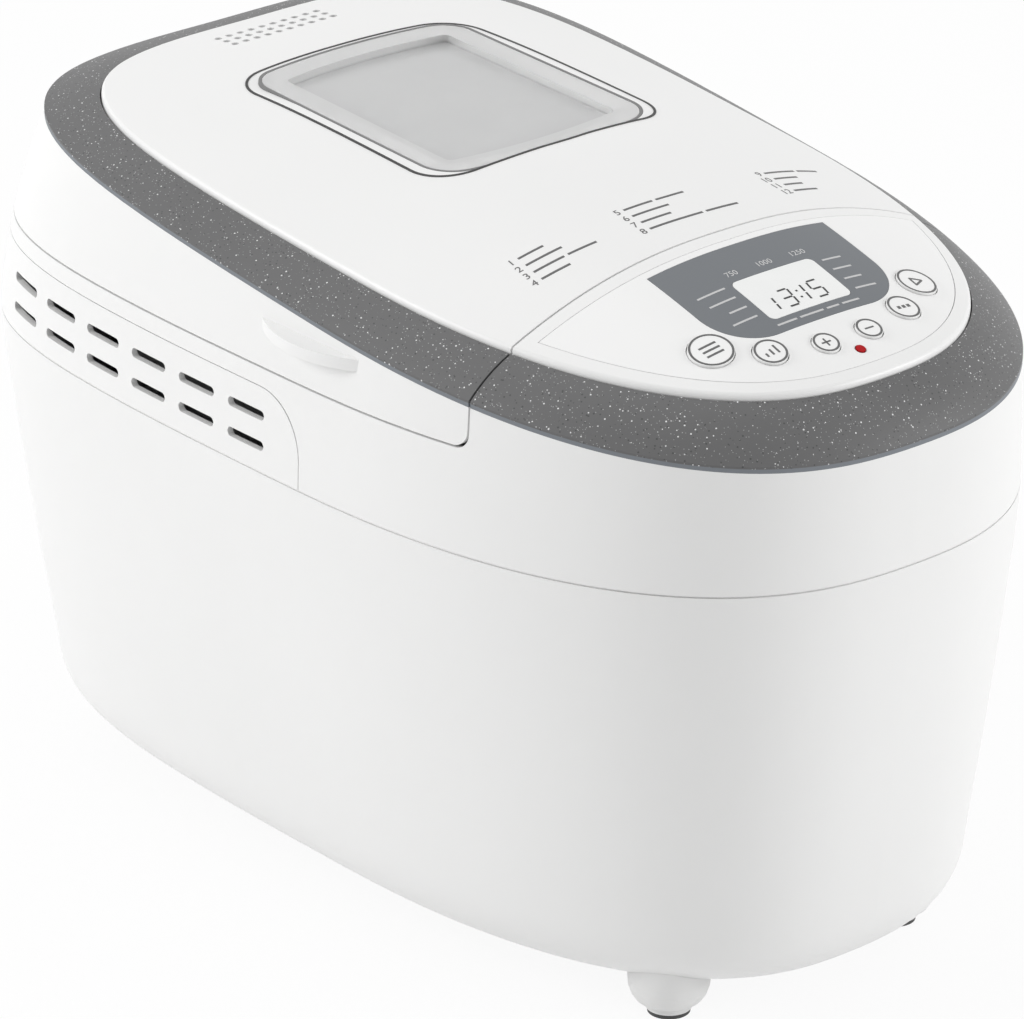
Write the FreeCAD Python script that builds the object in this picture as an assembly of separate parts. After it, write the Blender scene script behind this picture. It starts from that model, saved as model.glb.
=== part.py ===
"""Domestic bread machine with a hinged lid, a lift-out baking pan and a belt-driven kneader.

Millimetres. +Z is up, the control panel faces -Y, and the origin is on the floor under the body's middle.
"""
import FreeCAD, Part
import math
import os
from FreeCAD import Rotation, Vector

# Body outline
BODY_LENGTH = 420.0
BODY_WIDTH = 252.0
FRONT_FULLNESS = 2.47
REAR_FULLNESS = 4.2
WALL = 2.5

# Levels of the body
BASE_Z = 14.0
BASE_ROUND = 30.0
BASE_TAPER = 15.0
BASE_EASE = 1.2
GIRTH_Z = 182.0
LID_Z = 222.0
RIM_Z = 249.0
RIM_SLOPE = 0.108
RIM_LEAN = 4.5
RIM_REAR_LEAN = 28.0
LEAN_EASE = 1.5
SEAM_WIDTH = 0.7
SEAM_DEPTH = 0.8

# Top: speckled band, then the crowned white top
BAND_WIDTH = 18.0
BAND_LIP = 2.4
BAND_BULGE = 1.8
BAND_SHEET = 1.8
BAND_GAP = 0.5
BAND_DROP = 0.8
TOP_EDGE_Z = 264.0
TOP_SLOPE = 0.08
TOP_ROUND = 2.0
CROWN = 20.0
CROWN_EASE = 2.2
CROWN_SHIFT = 15.0
LEDGE = 14.0

# Lid
PANEL_LENGTH = 104.0
LID_GAP = 0.8
LID_CORNER = 6.0
TAB_LENGTH = 50.0
TAB_REACH = 7.0
TAB_THICKNESS = 4.5
TAB_SETBACK = 79.0
TAB_RISE = 14.0
LINER_SHEET = 1.0
LINER_RISE = 27.0
LINER_LIP = 3.0
LINER_SEAT = 4.0
LINER_DRAFT = 3.0
LINER_GAP = 0.4
STEAM_HOLE = 1.5
STEAM_PITCH = 5.2
STEAM_COLUMNS = 10
STEAM_ROWS = 3
STEAM_SETBACK = 24.0

# Window in the lid
WINDOW_LENGTH = 114.0
WINDOW_SETBACK = 92.0
WINDOW_FRONT_WIDTH = 101.0
WINDOW_REAR_WIDTH = 98.0
WINDOW_ROUND = 14.0
WINDOW_BOW = 5.0
WINDOW_DROP = 4.5
WINDOW_SLOPE = 0.03
WINDOW_SEAL = 1.3
WINDOW_SEAT = 9.0
WINDOW_PANE = 2.0
WINDOW_DISH = 3.0
WINDOW_FRAME = 5.0
WINDOW_LAND = 3.5
WINDOW_FIT = 0.1

# Hinge
HINGE_X = 24.0
HINGE_RISE = 3.0
HINGE_INSET = 1.5
HINGE_BARREL = 4.5
HINGE_PIN = 2.0
HINGE_KNUCKLE = 14.0
HINGE_ARM = 14.0
HINGE_ARM_SHEET = 3.4
HINGE_EAR = 5.0
HINGE_PLAY = 0.6
RUNNING_FIT = 0.05

# Side vents
VENT_SETBACK = 184.5
VENT_TOP = 215.0
VENT_CORNER = 22.0
VENT_GAP = 0.4
SLOT_LENGTH = 20.5
SLOT_HEIGHT = 3.7
SLOT_PITCH = 28.7
SLOT_COUNT = 6
SLOT_MARGIN = 30.1
SLOT_ROW_LOW = 10.3
SLOT_ROW_STEP = 11.6

# Control panel
FASCIA_MARGIN = 5.5
FASCIA_SHEET = 1.2
FASCIA_GAP = 0.25
INLAY_SHEET = 0.5
INLAY_GAP = 0.15
INLAY_WIDTH = 82.0
INLAY_LENGTH = 47.0
INLAY_ROUND = 20.0
INLAY_SETBACK = 9.0
DISPLAY_WIDTH = 37.5
DISPLAY_LENGTH = 22.5
DISPLAY_ROUND = 2.5
DISPLAY_SETBACK = 27.0
DISPLAY_SEAT = 1.5
BUTTON_INSET = 18.5
BUTTON_PLACES = (
    ("menu_button", -48.0, 8.2),
    ("size_button", -31.0, 6.3),
    ("plus_button", -10.0, 5.1),
    ("minus_button", 10.0, 5.1),
    ("colour_button", 31.0, 6.3),
    ("start_button", 48.0, 7.6),
)
BUTTON_PROUD = 0.9
BUTTON_FIT = 0.35
BUTTON_TRAVEL = 0.8
BUTTON_SINK = 5.4
BUTTON_FLANGE = 1.3
BUTTON_FLANGE_SHEET = 1.2
BUTTON_STEM = 2.0
BUTTON_CLEARANCE = 0.2
LED_RADIUS = 1.8
LED_INSET = 12.0
BOARD_DEPTH = 18.0
BOARD_SHEET = 1.6
BOARD_MARGIN = 12.0
BOARD_POST = 3.0
BOARD_POST_X = 58.0
BOARD_POST_GAP = 9.0
SWITCH_SIZE = 6.0
SWITCH_HEIGHT = 3.5

# Baking chamber and pan
CHAMBER_FRONT_GAP = 30.0
CHAMBER_REAR_GAP = 54.0
CHAMBER_HALF_WIDTH = 84.0
CHAMBER_ROUND = 40.0
CHAMBER_SHEET = 1.0
CHAMBER_FLANGE = 7.0
CHAMBER_FLOOR_Z = 62.0
CHAMBER_FIT = 0.4
DECK_DROP = 4.0
PAN_END_GAP = 18.0
PAN_SIDE_GAP = 24.0
PAN_DRAFT = 7.0
PAN_ROUND = 24.0
PAN_SHEET = 1.5
PAN_RIM = 6.0
PAN_RISE = 11.0
PAN_RIM_DROP = 36.0
PAN_FOOT_LENGTH = 120.0
PAN_FOOT_WIDTH = 70.0
PAN_FOOT_WALL = 2.0
PAN_FOOT_ROUND = 12.0
CLIP_SHEET = 1.0
CLIP_HEIGHT = 9.0
CLIP_LENGTH = 22.0
EAR_SHEET = 2.0
EAR_WIDTH = 14.0
EAR_HEIGHT = 9.0
EAR_PIVOT = 4.2
BAIL_WIRE = 2.0
BAIL_REACH = 36.0
BAIL_OFFSET = 6.0
BAIL_BEND = 14.0
BAIL_CRANK = 4.2

# Kneader drive
SHAFT_RADIUS = 4.0
SHAFT_FLAT = 1.0
COUPLING_RADIUS = 14.0
COUPLING_DISC = 3.0
COUPLING_GAP = 0.6
DOG_WIDTH = 6.0
DOG_LENGTH = 24.0
DOG_HEIGHT = 4.5
DOG_HUB = 5.0
DOG_PLAY = 0.4
PRONG_WIDTH = 5.0
PRONG_LENGTH = 6.0
PRONG_INNER = 5.0
PADDLE_HUB = 8.5
PADDLE_HEIGHT = 21.0
PADDLE_REACH = 38.0
PADDLE_BLADE = 5.0
PADDLE_TIP = 9.0
BUSH_RADIUS = 7.5
BUSH_FLANGE = 3.0
BUSH_HEIGHT = 6.0
BEARING_RADIUS = 8.0
BEARING_FLANGE = 18.0
BEARING_FLANGE_SHEET = 3.0
CHASSIS_Z = 48.0
CHASSIS_SHEET = 2.0
CHASSIS_HALF_WIDTH = 66.0
CHASSIS_ROUND = 20.0
CHASSIS_LEAD = 30.0
CHASSIS_TAIL = 60.0
POST_RADIUS = 5.5
POST_INSET = 12.0
POST_HOLE_DEPTH = 12.0
PULLEY_RADIUS = 48.0
PULLEY_WIDTH = 9.0
PULLEY_FLANGE = 2.4
PULLEY_CHEEK = 1.5
PULLEY_HUB = 9.0
PULLEY_DROP = 6.0
SPOKE_COUNT = 5
SPOKE_HOLE = 10.0
MOTOR_PULLEY_RADIUS = 9.6
BELT_SHEET = 1.8
BELT_PLAY = 0.25
MOTOR_SETBACK = 70.0
MOTOR_RADIUS = 36.0
MOTOR_HEIGHT = 62.0
MOTOR_BELL = 26.0
MOTOR_BELL_HEIGHT = 9.0
MOTOR_SHAFT = 3.0
SCREW_RADIUS = 3.6
SCREW_HEAD = 2.2
SCREW_SHANK = 1.6
SCREW_LENGTH = 11.0

# Heating and wiring
ELEMENT_RADIUS = 3.2
ELEMENT_Z = 80.0
ELEMENT_BEND = 26.0
ELEMENT_TERMINAL_X = 16.0
ELEMENT_TERMINAL_BEND = 8.0
ELEMENT_TAIL = 14.0
CERAMIC_RADIUS = 6.0
CERAMIC_LENGTH = 7.0
PROBE_RADIUS = 3.0
PROBE_X = 46.0
PROBE_Z = 120.0
PROBE_REACH = 7.0
PROBE_HEAD = 5.0
PROBE_HEAD_LENGTH = 6.0
POWER_BOARD_X = 52.0
POWER_BOARD_LENGTH = 62.0
POWER_BOARD_HEIGHT = 56.0
POWER_BOARD_SHEET = 1.6
RELAY_SIZE = 16.0
GLAND_Z = 52.0
GLAND_RADIUS = 6.5
GLAND_FLANGE = 9.5
GLAND_FLANGE_SHEET = 2.0
GLAND_BORE = 3.6

# Underside
PLATE_HALF_WIDTH = 37.0
PLATE_FRONT_GAP = 48.0
PLATE_REAR_GAP = 62.0
PLATE_DISH = 4.5
PLATE_RAMP = 7.0
PLATE_LAP = 5.0
FOOT_X = 55.0
FOOT_FRONT_GAP = 64.0
FOOT_REAR_GAP = 38.0
FOOT_RADIUS = 15.0
FOOT_NECK = 8.4
FOOT_NECK_HEIGHT = 2.2
FOOT_TOLERANCE = 0.001
PAD_RADIUS = 7.8
PAD_HEIGHT = 2.6
PAD_SINK = 0.8

# Derived levels and places
FAR = 2.0 * BODY_LENGTH
FRONT_Y = -BODY_LENGTH / 2.0
REAR_Y = BODY_LENGTH / 2.0
LID_FRONT = FRONT_Y + PANEL_LENGTH
KNEE_Z = BASE_Z + BASE_ROUND
DECK_Z = LID_Z - DECK_DROP
RIM_HALF_WIDTH = BODY_WIDTH / 2.0 - RIM_LEAN
RIM_REAR = REAR_Y - RIM_REAR_LEAN
TOP_HALF_WIDTH = RIM_HALF_WIDTH - BAND_WIDTH
TOP_FRONT = FRONT_Y + BAND_WIDTH
TOP_REAR = RIM_REAR - BAND_WIDTH
CHAMBER_FRONT = LID_FRONT + CHAMBER_FRONT_GAP
CHAMBER_REAR = REAR_Y - CHAMBER_REAR_GAP
DRIVE_Y = (CHAMBER_FRONT + CHAMBER_REAR) / 2.0
CHAMBER_TOP_Z = DECK_Z + CHAMBER_SHEET
CHAMBER_IN_Z = CHAMBER_FLOOR_Z + CHAMBER_SHEET
PAN_BASE_Z = CHAMBER_IN_Z + PAN_RISE
PAN_RIM_Z = DECK_Z - PAN_RIM_DROP
PAN_FRONT = CHAMBER_FRONT + PAN_END_GAP
PAN_REAR = CHAMBER_REAR - PAN_END_GAP
PAN_HALF_WIDTH = CHAMBER_HALF_WIDTH - PAN_SIDE_GAP
COUPLING_Z = CHAMBER_IN_Z + COUPLING_GAP
DOG_Z = COUPLING_Z + COUPLING_DISC + COUPLING_GAP
MOTOR_Y = FRONT_Y + MOTOR_SETBACK
CHASSIS_TOP_Z = CHASSIS_Z + CHASSIS_SHEET
PULLEY_TOP_Z = CHASSIS_Z - PULLEY_DROP
PULLEY_BASE_Z = PULLEY_TOP_Z - PULLEY_WIDTH - 2.0 * PULLEY_CHEEK
LID_SHARE = (LID_Z - GIRTH_Z) / (RIM_Z + RIM_SLOPE * REAR_Y - GIRTH_Z)
HINGE_Y = REAR_Y - RIM_REAR_LEAN * LID_SHARE ** LEAN_EASE - HINGE_INSET
HINGE_Z = LID_Z + HINGE_RISE
LINER_Z = LID_Z + LID_GAP / 2.0 + LINER_LIP
WINDOW_FRONT = LID_FRONT + WINDOW_SETBACK
WINDOW_REAR = WINDOW_FRONT + WINDOW_LENGTH
WINDOW_Z = TOP_EDGE_Z + CROWN - WINDOW_DROP
BAIL_Z = PAN_RIM_Z + EAR_PIVOT
FOOT_PLACES = [
    (side * FOOT_X, y)
    for y in (FRONT_Y + FOOT_FRONT_GAP, REAR_Y - FOOT_REAR_GAP)
    for side in (-1.0, 1.0)
]

OUTLINE_STEPS = 16
OUTLINE_LEAD = 4


def fused(shapes):
    """One clean solid from shapes that run into each other."""
    return shapes[0].fuse(shapes[1:]).removeSplitter()


def slab(x0, x1, y0, y1, z0, z1):
    return Part.makeBox(x1 - x0, y1 - y0, z1 - z0, Vector(x0, y0, z0))


def disc(radius, z0, z1, x=0.0, y=0.0):
    return Part.makeCylinder(radius, z1 - z0, Vector(x, y, z0))


def ring(outer, inner, z0, z1, x=0.0, y=0.0):
    return disc(outer, z0, z1, x, y).cut(disc(inner, z0, z1, x, y))


def turned(points, x=0.0, y=0.0):
    """A solid turned about a vertical axis from (radius, height) points."""
    path = [Vector(radius, 0, z) for radius, z in points]
    face = Part.Face(Part.makePolygon(path + path[:1]))
    body = face.revolve(Vector(0, 0, 0), Vector(0, 0, 1), 360)
    body.translate(Vector(x, y, 0))
    return body


def outline_points(half_width, half_length):
    """Points of the oval's right half from front to rear, led in and out by a few of its left half.

    The oval is fuller than an ellipse, and fuller at the rear than at the front.
    """
    points = []
    for step in range(-OUTLINE_LEAD, OUTLINE_STEPS + OUTLINE_LEAD + 1):
        angle = math.pi * (step / OUTLINE_STEPS - 0.5)
        across, along = math.cos(angle), math.sin(angle)
        power = 2.0 / (REAR_FULLNESS if along > 0 else FRONT_FULLNESS)
        x = half_width * math.copysign(abs(across) ** power, across)
        y = half_length * math.copysign(abs(along) ** power, along)
        points.append(Vector(0.0 if step in (0, OUTLINE_STEPS) else x, y, 0))
    return points


def outline_marks():
    """Distances along the body's half outline, so that all its levels are divided alike."""
    points = outline_points(BODY_WIDTH / 2.0, BODY_LENGTH / 2.0)
    marks = [0.0]
    for before, after in zip(points, points[1:]):
        marks.append(marks[-1] + (after - before).Length)
    return marks


def oval(half_width, front, rear, height, slope=0.0, inset=0.0):
    """The closed outline of the body, drawn in and set at a height that may slope along Y."""
    middle = (front + rear) / 2.0
    marks = outline_marks()
    halves = []
    for side in (1.0, -1.0):
        places = []
        for point in outline_points(half_width - inset, (rear - front) / 2.0 - inset):
            y = middle + point.y
            places.append(Vector(side * point.x, y, height + slope * y))
        curve = Part.BSplineCurve()
        curve.interpolate(Points=places, Parameters=marks)
        halves.append(curve.toShape(marks[OUTLINE_LEAD], marks[OUTLINE_LEAD + OUTLINE_STEPS]))
    return Part.Wire(Part.__sortEdges__(halves))


def loft(wires, ruled=False):
    return Part.makeLoft(wires, True, ruled)


def lower_solid(inset=0.0):
    """The tub below the girth: tapered sides and a rounded foot."""
    wires = []
    for share in (0.0, 0.25, 0.5, 0.75, 1.0):
        taper = BASE_TAPER * share ** BASE_EASE
        z = GIRTH_Z + share * (KNEE_Z - GIRTH_Z)
        wires.append(oval(BODY_WIDTH / 2.0, FRONT_Y, REAR_Y, z, 0.0, taper + inset))
    radius = BASE_ROUND - inset
    for degrees in (22.5, 45.0, 67.5, 90.0):
        turn = math.radians(degrees)
        drawn = BASE_TAPER + inset + radius * (1.0 - math.cos(turn))
        wires.append(oval(BODY_WIDTH / 2.0, FRONT_Y, REAR_Y, KNEE_Z - radius * math.sin(turn), 0.0, drawn))
    return loft(wires[::-1])


def upper_solid(inset=0.0):
    """The body between the girth and the sloping rim."""
    wires = []
    for share in (0.0, 1.0 / 3.0, 2.0 / 3.0, 1.0):
        lean = share ** LEAN_EASE
        wires.append(oval(
            BODY_WIDTH / 2.0 - lean * RIM_LEAN,
            FRONT_Y,
            REAR_Y - lean * RIM_REAR_LEAN,
            GIRTH_Z + share * (RIM_Z - GIRTH_Z),
            share * RIM_SLOPE,
            inset,
        ))
    return loft(wires)


def top_oval(height, slope, inset=0.0):
    return oval(TOP_HALF_WIDTH, TOP_FRONT, TOP_REAR, height, slope, inset)


def top_solid(inset=0.0, drop=0.0):
    """The crowned top with its upright side, standing on the rim plane."""
    edge = TOP_EDGE_Z - drop
    side = loft([top_oval(RIM_Z, RIM_SLOPE, inset), top_oval(edge - TOP_ROUND, TOP_SLOPE, inset)], True)
    rounding = []
    for degrees in (0.0, 30.0, 60.0):
        turn = math.radians(degrees)
        drawn = TOP_ROUND * (1.0 - math.cos(turn))
        rounding.append(top_oval(edge - TOP_ROUND * (1.0 - math.sin(turn)), TOP_SLOPE, inset + drawn))
    start = edge - TOP_ROUND * (1.0 - math.sin(turn))
    half_length = (TOP_REAR - TOP_FRONT) / 2.0 - inset - drawn
    half_width = TOP_HALF_WIDTH - inset - drawn
    crown = []
    for share in (1.0, 0.83, 0.66, 0.49, 0.32, 0.15):
        middle = (TOP_FRONT + TOP_REAR) / 2.0 + CROWN_SHIFT * (1.0 - share)
        crown.append(oval(
            half_width * share,
            middle - half_length * share,
            middle + half_length * share,
            start + CROWN * (1.0 - share ** CROWN_EASE),
            TOP_SLOPE * share,
        ))
    return fused([side, loft(rounding), loft(crown)])


def upright(wire, z0, z1):
    """A solid between two levels over a flat outline drawn at any level."""
    face = Part.Face(wire)
    face.translate(Vector(0, 0, z0 - wire.BoundBox.ZMin))
    return face.extrude(Vector(0, 0, z1 - z0))


def side_profile(corners, radius, rounded):
    """A solid across the whole width from (y, z) corners, with one corner rounded."""
    edges = []
    count = len(corners)
    points = [Vector(0, y, z) for y, z in corners]
    ends = []
    for index, point in enumerate(points):
        if index != rounded:
            ends.append((point, point))
            continue
        before = (points[index - 1] - point).normalize() * radius
        after = (points[(index + 1) % count] - point).normalize() * radius
        start, end = point + before, point + after
        middle = point + (before + after) * (1.0 - math.sqrt(0.5))
        edges.append(Part.Arc(start, middle, end).toShape())
        ends.append((start, end))
    for index in range(count):
        edges.append(Part.LineSegment(ends[index][1], ends[(index + 1) % count][0]).toShape())
    face = Part.Face(Part.Wire(Part.__sortEdges__(edges)))
    face.translate(Vector(-BODY_WIDTH, 0, 0))
    return face.extrude(Vector(2.0 * BODY_WIDTH, 0, 0))


def rounded_box(half_width, y0, y1, radius, z):
    """A rectangular outline with round corners, centred on X."""
    x0, x1 = -half_width, half_width
    slant = radius * (1.0 - math.sqrt(0.5))
    edges = [
        Part.LineSegment(Vector(x0 + radius, y0, z), Vector(x1 - radius, y0, z)),
        Part.Arc(Vector(x1 - radius, y0, z), Vector(x1 - slant, y0 + slant, z), Vector(x1, y0 + radius, z)),
        Part.LineSegment(Vector(x1, y0 + radius, z), Vector(x1, y1 - radius, z)),
        Part.Arc(Vector(x1, y1 - radius, z), Vector(x1 - slant, y1 - slant, z), Vector(x1 - radius, y1, z)),
        Part.LineSegment(Vector(x1 - radius, y1, z), Vector(x0 + radius, y1, z)),
        Part.Arc(Vector(x0 + radius, y1, z), Vector(x0 + slant, y1 - slant, z), Vector(x0, y1 - radius, z)),
        Part.LineSegment(Vector(x0, y1 - radius, z), Vector(x0, y0 + radius, z)),
        Part.Arc(Vector(x0, y0 + radius, z), Vector(x0 + slant, y0 + slant, z), Vector(x0 + radius, y0, z)),
    ]
    return Part.Wire([edge.toShape() for edge in edges])


def lid_zone(gap):
    """Everything that lifts with the lid; the housing clears it by a negative gap."""
    y, z = LID_FRONT + gap, LID_Z + gap
    return side_profile([(y, z), (FAR, z), (FAR, FAR), (y, FAR)], LID_CORNER, 0)


def vent_zone(gap):
    """The region of the side panel that carries the vents, round the rear of the body."""
    y, z = FRONT_Y + VENT_SETBACK + gap, VENT_TOP - gap
    return side_profile([(y, GIRTH_Z - gap), (FAR, GIRTH_Z - gap), (FAR, z), (y, z)], VENT_CORNER, 3)


def rim_slab(depth):
    """A sloping slab just below the rim plane."""
    low, high = RIM_Z - RIM_SLOPE * FAR, RIM_Z + RIM_SLOPE * FAR
    return side_profile([(-FAR, low - depth), (FAR, high - depth), (FAR, high), (-FAR, low)], 0.0, -1)


UPPER = upper_solid()
UPPER_SHELL = UPPER.cut(upper_solid(WALL))
UPPER_CORE = upper_solid(WALL / 2.0)
LOWER = lower_solid()
TOP = top_solid()
LID_SIDE = slab(-FAR, FAR, LID_FRONT + LID_GAP / 2.0, FAR, -FAR, FAR)
PANEL_SIDE = slab(-FAR, FAR, -FAR, LID_FRONT - LID_GAP / 2.0, -FAR, FAR)


def behind(y):
    """The half space to the rear of a plane across the body."""
    return slab(-FAR, FAR, y, FAR, -FAR, FAR)


def before(y):
    """The half space to the front of a plane across the body."""
    return slab(-FAR, FAR, -FAR, y, -FAR, FAR)


def moved(shape, x=0.0, y=0.0, z=0.0):
    copy = shape.copy()
    copy.translate(Vector(x, y, z))
    return copy


def column(wire):
    """An endless upright solid over a level outline."""
    return upright(wire, -FAR, FAR)


def top_column(inset):
    return column(top_oval(RIM_Z, 0.0, inset))


def top_z(x, y):
    """Height of the crowned top above a place on the floor plan."""
    line = Part.makeLine(Vector(x, y, RIM_Z), Vector(x, y, RIM_Z + FAR))
    return TOP.common(line).BoundBox.ZMax


def bent_rod(points, bends, radius):
    """A round rod through points, with an arc of the given radius at each inner point."""
    edges = []
    start = points[0]
    for index, bend in enumerate(bends, 1):
        corner = points[index]
        back = (points[index - 1] - corner).normalize()
        on = (points[index + 1] - corner).normalize()
        half = back.getAngle(on) / 2.0
        reach = bend / math.tan(half)
        centre = corner + (back + on).normalize() * (bend / math.sin(half))
        middle = centre + (corner - centre).normalize() * bend
        edges.append(Part.LineSegment(start, corner + back * reach).toShape())
        edges.append(Part.Arc(corner + back * reach, middle, corner + on * reach).toShape())
        start = corner + on * reach
    edges.append(Part.LineSegment(start, points[-1]).toShape())
    section = Part.Wire(Part.makeCircle(radius, points[0], points[1] - points[0]))
    return Part.Wire(edges).makePipeShell([section], True, True)


def seam():
    """A fine groove round the girth, where the lower body meets the pieces above it."""
    low, high = GIRTH_Z - SEAM_WIDTH / 2.0, GIRTH_Z + SEAM_WIDTH / 2.0
    outline = oval(BODY_WIDTH / 2.0, FRONT_Y, REAR_Y, low, 0.0, -WALL)
    core = oval(BODY_WIDTH / 2.0, FRONT_Y, REAR_Y, low, 0.0, SEAM_DEPTH)
    return upright(outline, low, high).cut(upright(core, low, high))


SEAM = seam()


def post_places():
    x = CHASSIS_HALF_WIDTH - POST_INSET
    front, rear = MOTOR_Y - CHASSIS_LEAD + POST_INSET, DRIVE_Y + CHASSIS_TAIL - POST_INSET
    return [(side * x, y) for y in (front, rear) for side in (-1.0, 1.0)]


def plate_oval(inset, z):
    return oval(PLATE_HALF_WIDTH, FRONT_Y + PLATE_FRONT_GAP, REAR_Y - PLATE_REAR_GAP, z, 0.0, inset)


def lower_body():
    shell = LOWER.cut(lower_solid(WALL))
    shell = shell.cut(upright(plate_oval(PLATE_LAP, BASE_Z), BASE_Z - WALL, BASE_Z + 2.0 * WALL))
    posts = []
    for x, y in post_places():
        post = disc(POST_RADIUS, BASE_Z + WALL / 2.0, CHASSIS_Z, x, y).common(LOWER)
        posts.append(post.cut(disc(SCREW_SHANK, CHASSIS_Z - POST_HOLE_DEPTH, CHASSIS_Z, x, y)))
    gland = Part.makeCylinder(GLAND_RADIUS, FAR, Vector(0, 0, GLAND_Z), Vector(0, 1, 0))
    return fused([shell] + posts).cut(gland).cut(SEAM)


def base_plate():
    low = BASE_Z - PLATE_DISH
    outer = loft([plate_oval(0.0, BASE_Z), plate_oval(PLATE_RAMP, low)], True)
    inner = loft([plate_oval(WALL, BASE_Z), plate_oval(PLATE_RAMP + WALL, low + WALL)], True)
    return outer.cut(inner)


def foot_cup(x, y):
    """A moulded bowl under the rounded edge of the body, with a neck that holds the pad."""
    low = PAD_HEIGHT - PAD_SINK
    neck = low + FOOT_NECK_HEIGHT
    depth = BASE_Z - neck
    bowl = []
    for degrees in (0.0, 18.0, 36.0, 54.0, 72.0, 90.0):
        turn = math.radians(degrees)
        radius = FOOT_NECK + (FOOT_RADIUS - FOOT_NECK) * math.sin(turn)
        bowl.append((radius, neck + depth * (1.0 - math.cos(turn))))
    profile = [(0.0, low), (FOOT_NECK, low)] + bowl + [(FOOT_RADIUS, KNEE_Z), (0.0, KNEE_Z)]
    cup = turned(profile, x, y).cut([LOWER], FOOT_TOLERANCE)
    return cup.cut(disc(PAD_RADIUS, 0.0, PAD_HEIGHT, x, y))


def foot_pad(x, y):
    return disc(PAD_RADIUS, 0.0, PAD_HEIGHT, x, y)


def hinge_span():
    """Half the width taken by one hinge: the knuckle, its play and an ear at each end."""
    return HINGE_KNUCKLE / 2.0 + HINGE_PLAY + HINGE_EAR


def cross_rod(radius, x0, x1):
    return Part.makeCylinder(radius, x1 - x0, Vector(x0, HINGE_Y, HINGE_Z), Vector(1, 0, 0))


def hinge_ears():
    ears = []
    for side in (-1.0, 1.0):
        for end in (-1.0, 1.0):
            middle = side * HINGE_X + end * (hinge_span() - HINGE_EAR / 2.0)
            x0, x1 = middle - HINGE_EAR / 2.0, middle + HINGE_EAR / 2.0
            web = slab(x0, x1, HINGE_Y - HINGE_BARREL, HINGE_Y, VENT_TOP, HINGE_Z)
            ear = web.fuse(cross_rod(HINGE_BARREL, x0, x1))
            ears.append(ear.cut(cross_rod(HINGE_PIN, x0, x1)))
    return ears


def hinge_pins():
    span = hinge_span()
    return Part.Compound([
        cross_rod(HINGE_PIN, side * HINGE_X - span, side * HINGE_X + span) for side in (-1.0, 1.0)
    ])


def upper_housing():
    gap = LID_GAP / 2.0
    wall = UPPER_SHELL.cut(lid_zone(-gap)).cut(vent_zone(0.0))
    bay = LID_FRONT - gap
    chamber = column(rounded_box(
        CHAMBER_HALF_WIDTH + CHAMBER_FIT, CHAMBER_FRONT - CHAMBER_FIT, CHAMBER_REAR + CHAMBER_FIT,
        CHAMBER_ROUND, DECK_Z,
    ))
    deck = UPPER_CORE.common(slab(-FAR, FAR, bay - WALL, FAR, DECK_Z - WALL, DECK_Z)).cut(chamber)
    bulkhead = UPPER_CORE.common(slab(-FAR, FAR, bay - WALL, bay, DECK_Z - WALL, FAR))
    well = top_column(LEDGE).common(before(bay - LEDGE))
    ledge = UPPER_CORE.common(rim_slab(WALL)).common(before(bay)).cut(well)
    body = fused([wall, deck, bulkhead, ledge])
    for side in (-1.0, 1.0):
        span = hinge_span() + HINGE_PLAY
        notch_z = HINGE_Z - HINGE_BARREL - HINGE_PLAY
        x = side * HINGE_X
        body = body.cut(slab(x - span, x + span, HINGE_Y - HINGE_BARREL - HINGE_PLAY, FAR, notch_z, FAR))
    return fused([body] + hinge_ears()).cut(SEAM)


def vent_slots():
    """Two rows of round-ended slots, through both sides of the body."""
    slots = []
    end = SLOT_HEIGHT / 2.0
    across = Vector(2.0 * BODY_WIDTH, 0, 0)
    for row in range(2):
        z = GIRTH_Z + SLOT_ROW_LOW + row * SLOT_ROW_STEP
        for place in range(SLOT_COUNT):
            y = FRONT_Y + VENT_SETBACK + SLOT_MARGIN + place * SLOT_PITCH
            y0, y1 = y - SLOT_LENGTH / 2.0 + end, y + SLOT_LENGTH / 2.0 - end
            edges = [
                Part.LineSegment(Vector(-BODY_WIDTH, y0, z - end), Vector(-BODY_WIDTH, y1, z - end)),
                Part.Arc(Vector(-BODY_WIDTH, y1, z - end), Vector(-BODY_WIDTH, y1 + end, z),
                         Vector(-BODY_WIDTH, y1, z + end)),
                Part.LineSegment(Vector(-BODY_WIDTH, y1, z + end), Vector(-BODY_WIDTH, y0, z + end)),
                Part.Arc(Vector(-BODY_WIDTH, y0, z + end), Vector(-BODY_WIDTH, y0 - end, z),
                         Vector(-BODY_WIDTH, y0, z - end)),
            ]
            slots.append(Part.Face(Part.Wire([edge.toShape() for edge in edges])).extrude(across))
    return slots


def vent_panel():
    return UPPER_SHELL.common(vent_zone(VENT_GAP)).cut(vent_slots()).cut(SEAM)


def band_solid(sheet):
    """The speckled band: an upright lip, then a slope that swells a little up to the white top."""
    lip = [
        oval(RIM_HALF_WIDTH, FRONT_Y, RIM_REAR, RIM_Z, RIM_SLOPE, sheet),
        oval(RIM_HALF_WIDTH, FRONT_Y, RIM_REAR, RIM_Z + BAND_LIP - sheet, RIM_SLOPE, sheet),
    ]
    high = TOP_EDGE_Z - TOP_ROUND - BAND_DROP - sheet
    slope = [lip[-1]]
    for share in (0.5, 1.0):
        swell = BAND_BULGE * math.sin(math.pi * share)
        slope.append(oval(
            RIM_HALF_WIDTH, FRONT_Y, RIM_REAR,
            RIM_Z + BAND_LIP - sheet + share * (high - RIM_Z - BAND_LIP + sheet),
            RIM_SLOPE + share * (TOP_SLOPE - RIM_SLOPE),
            sheet + share * (BAND_WIDTH - BAND_GAP) - swell,
        ))
    return fused([loft(lip, True), loft(slope)])


BAND = band_solid(0.0).cut(band_solid(BAND_SHEET)).cut(top_column(-BAND_GAP))


def front_band():
    return BAND.common(PANEL_SIDE)


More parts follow.
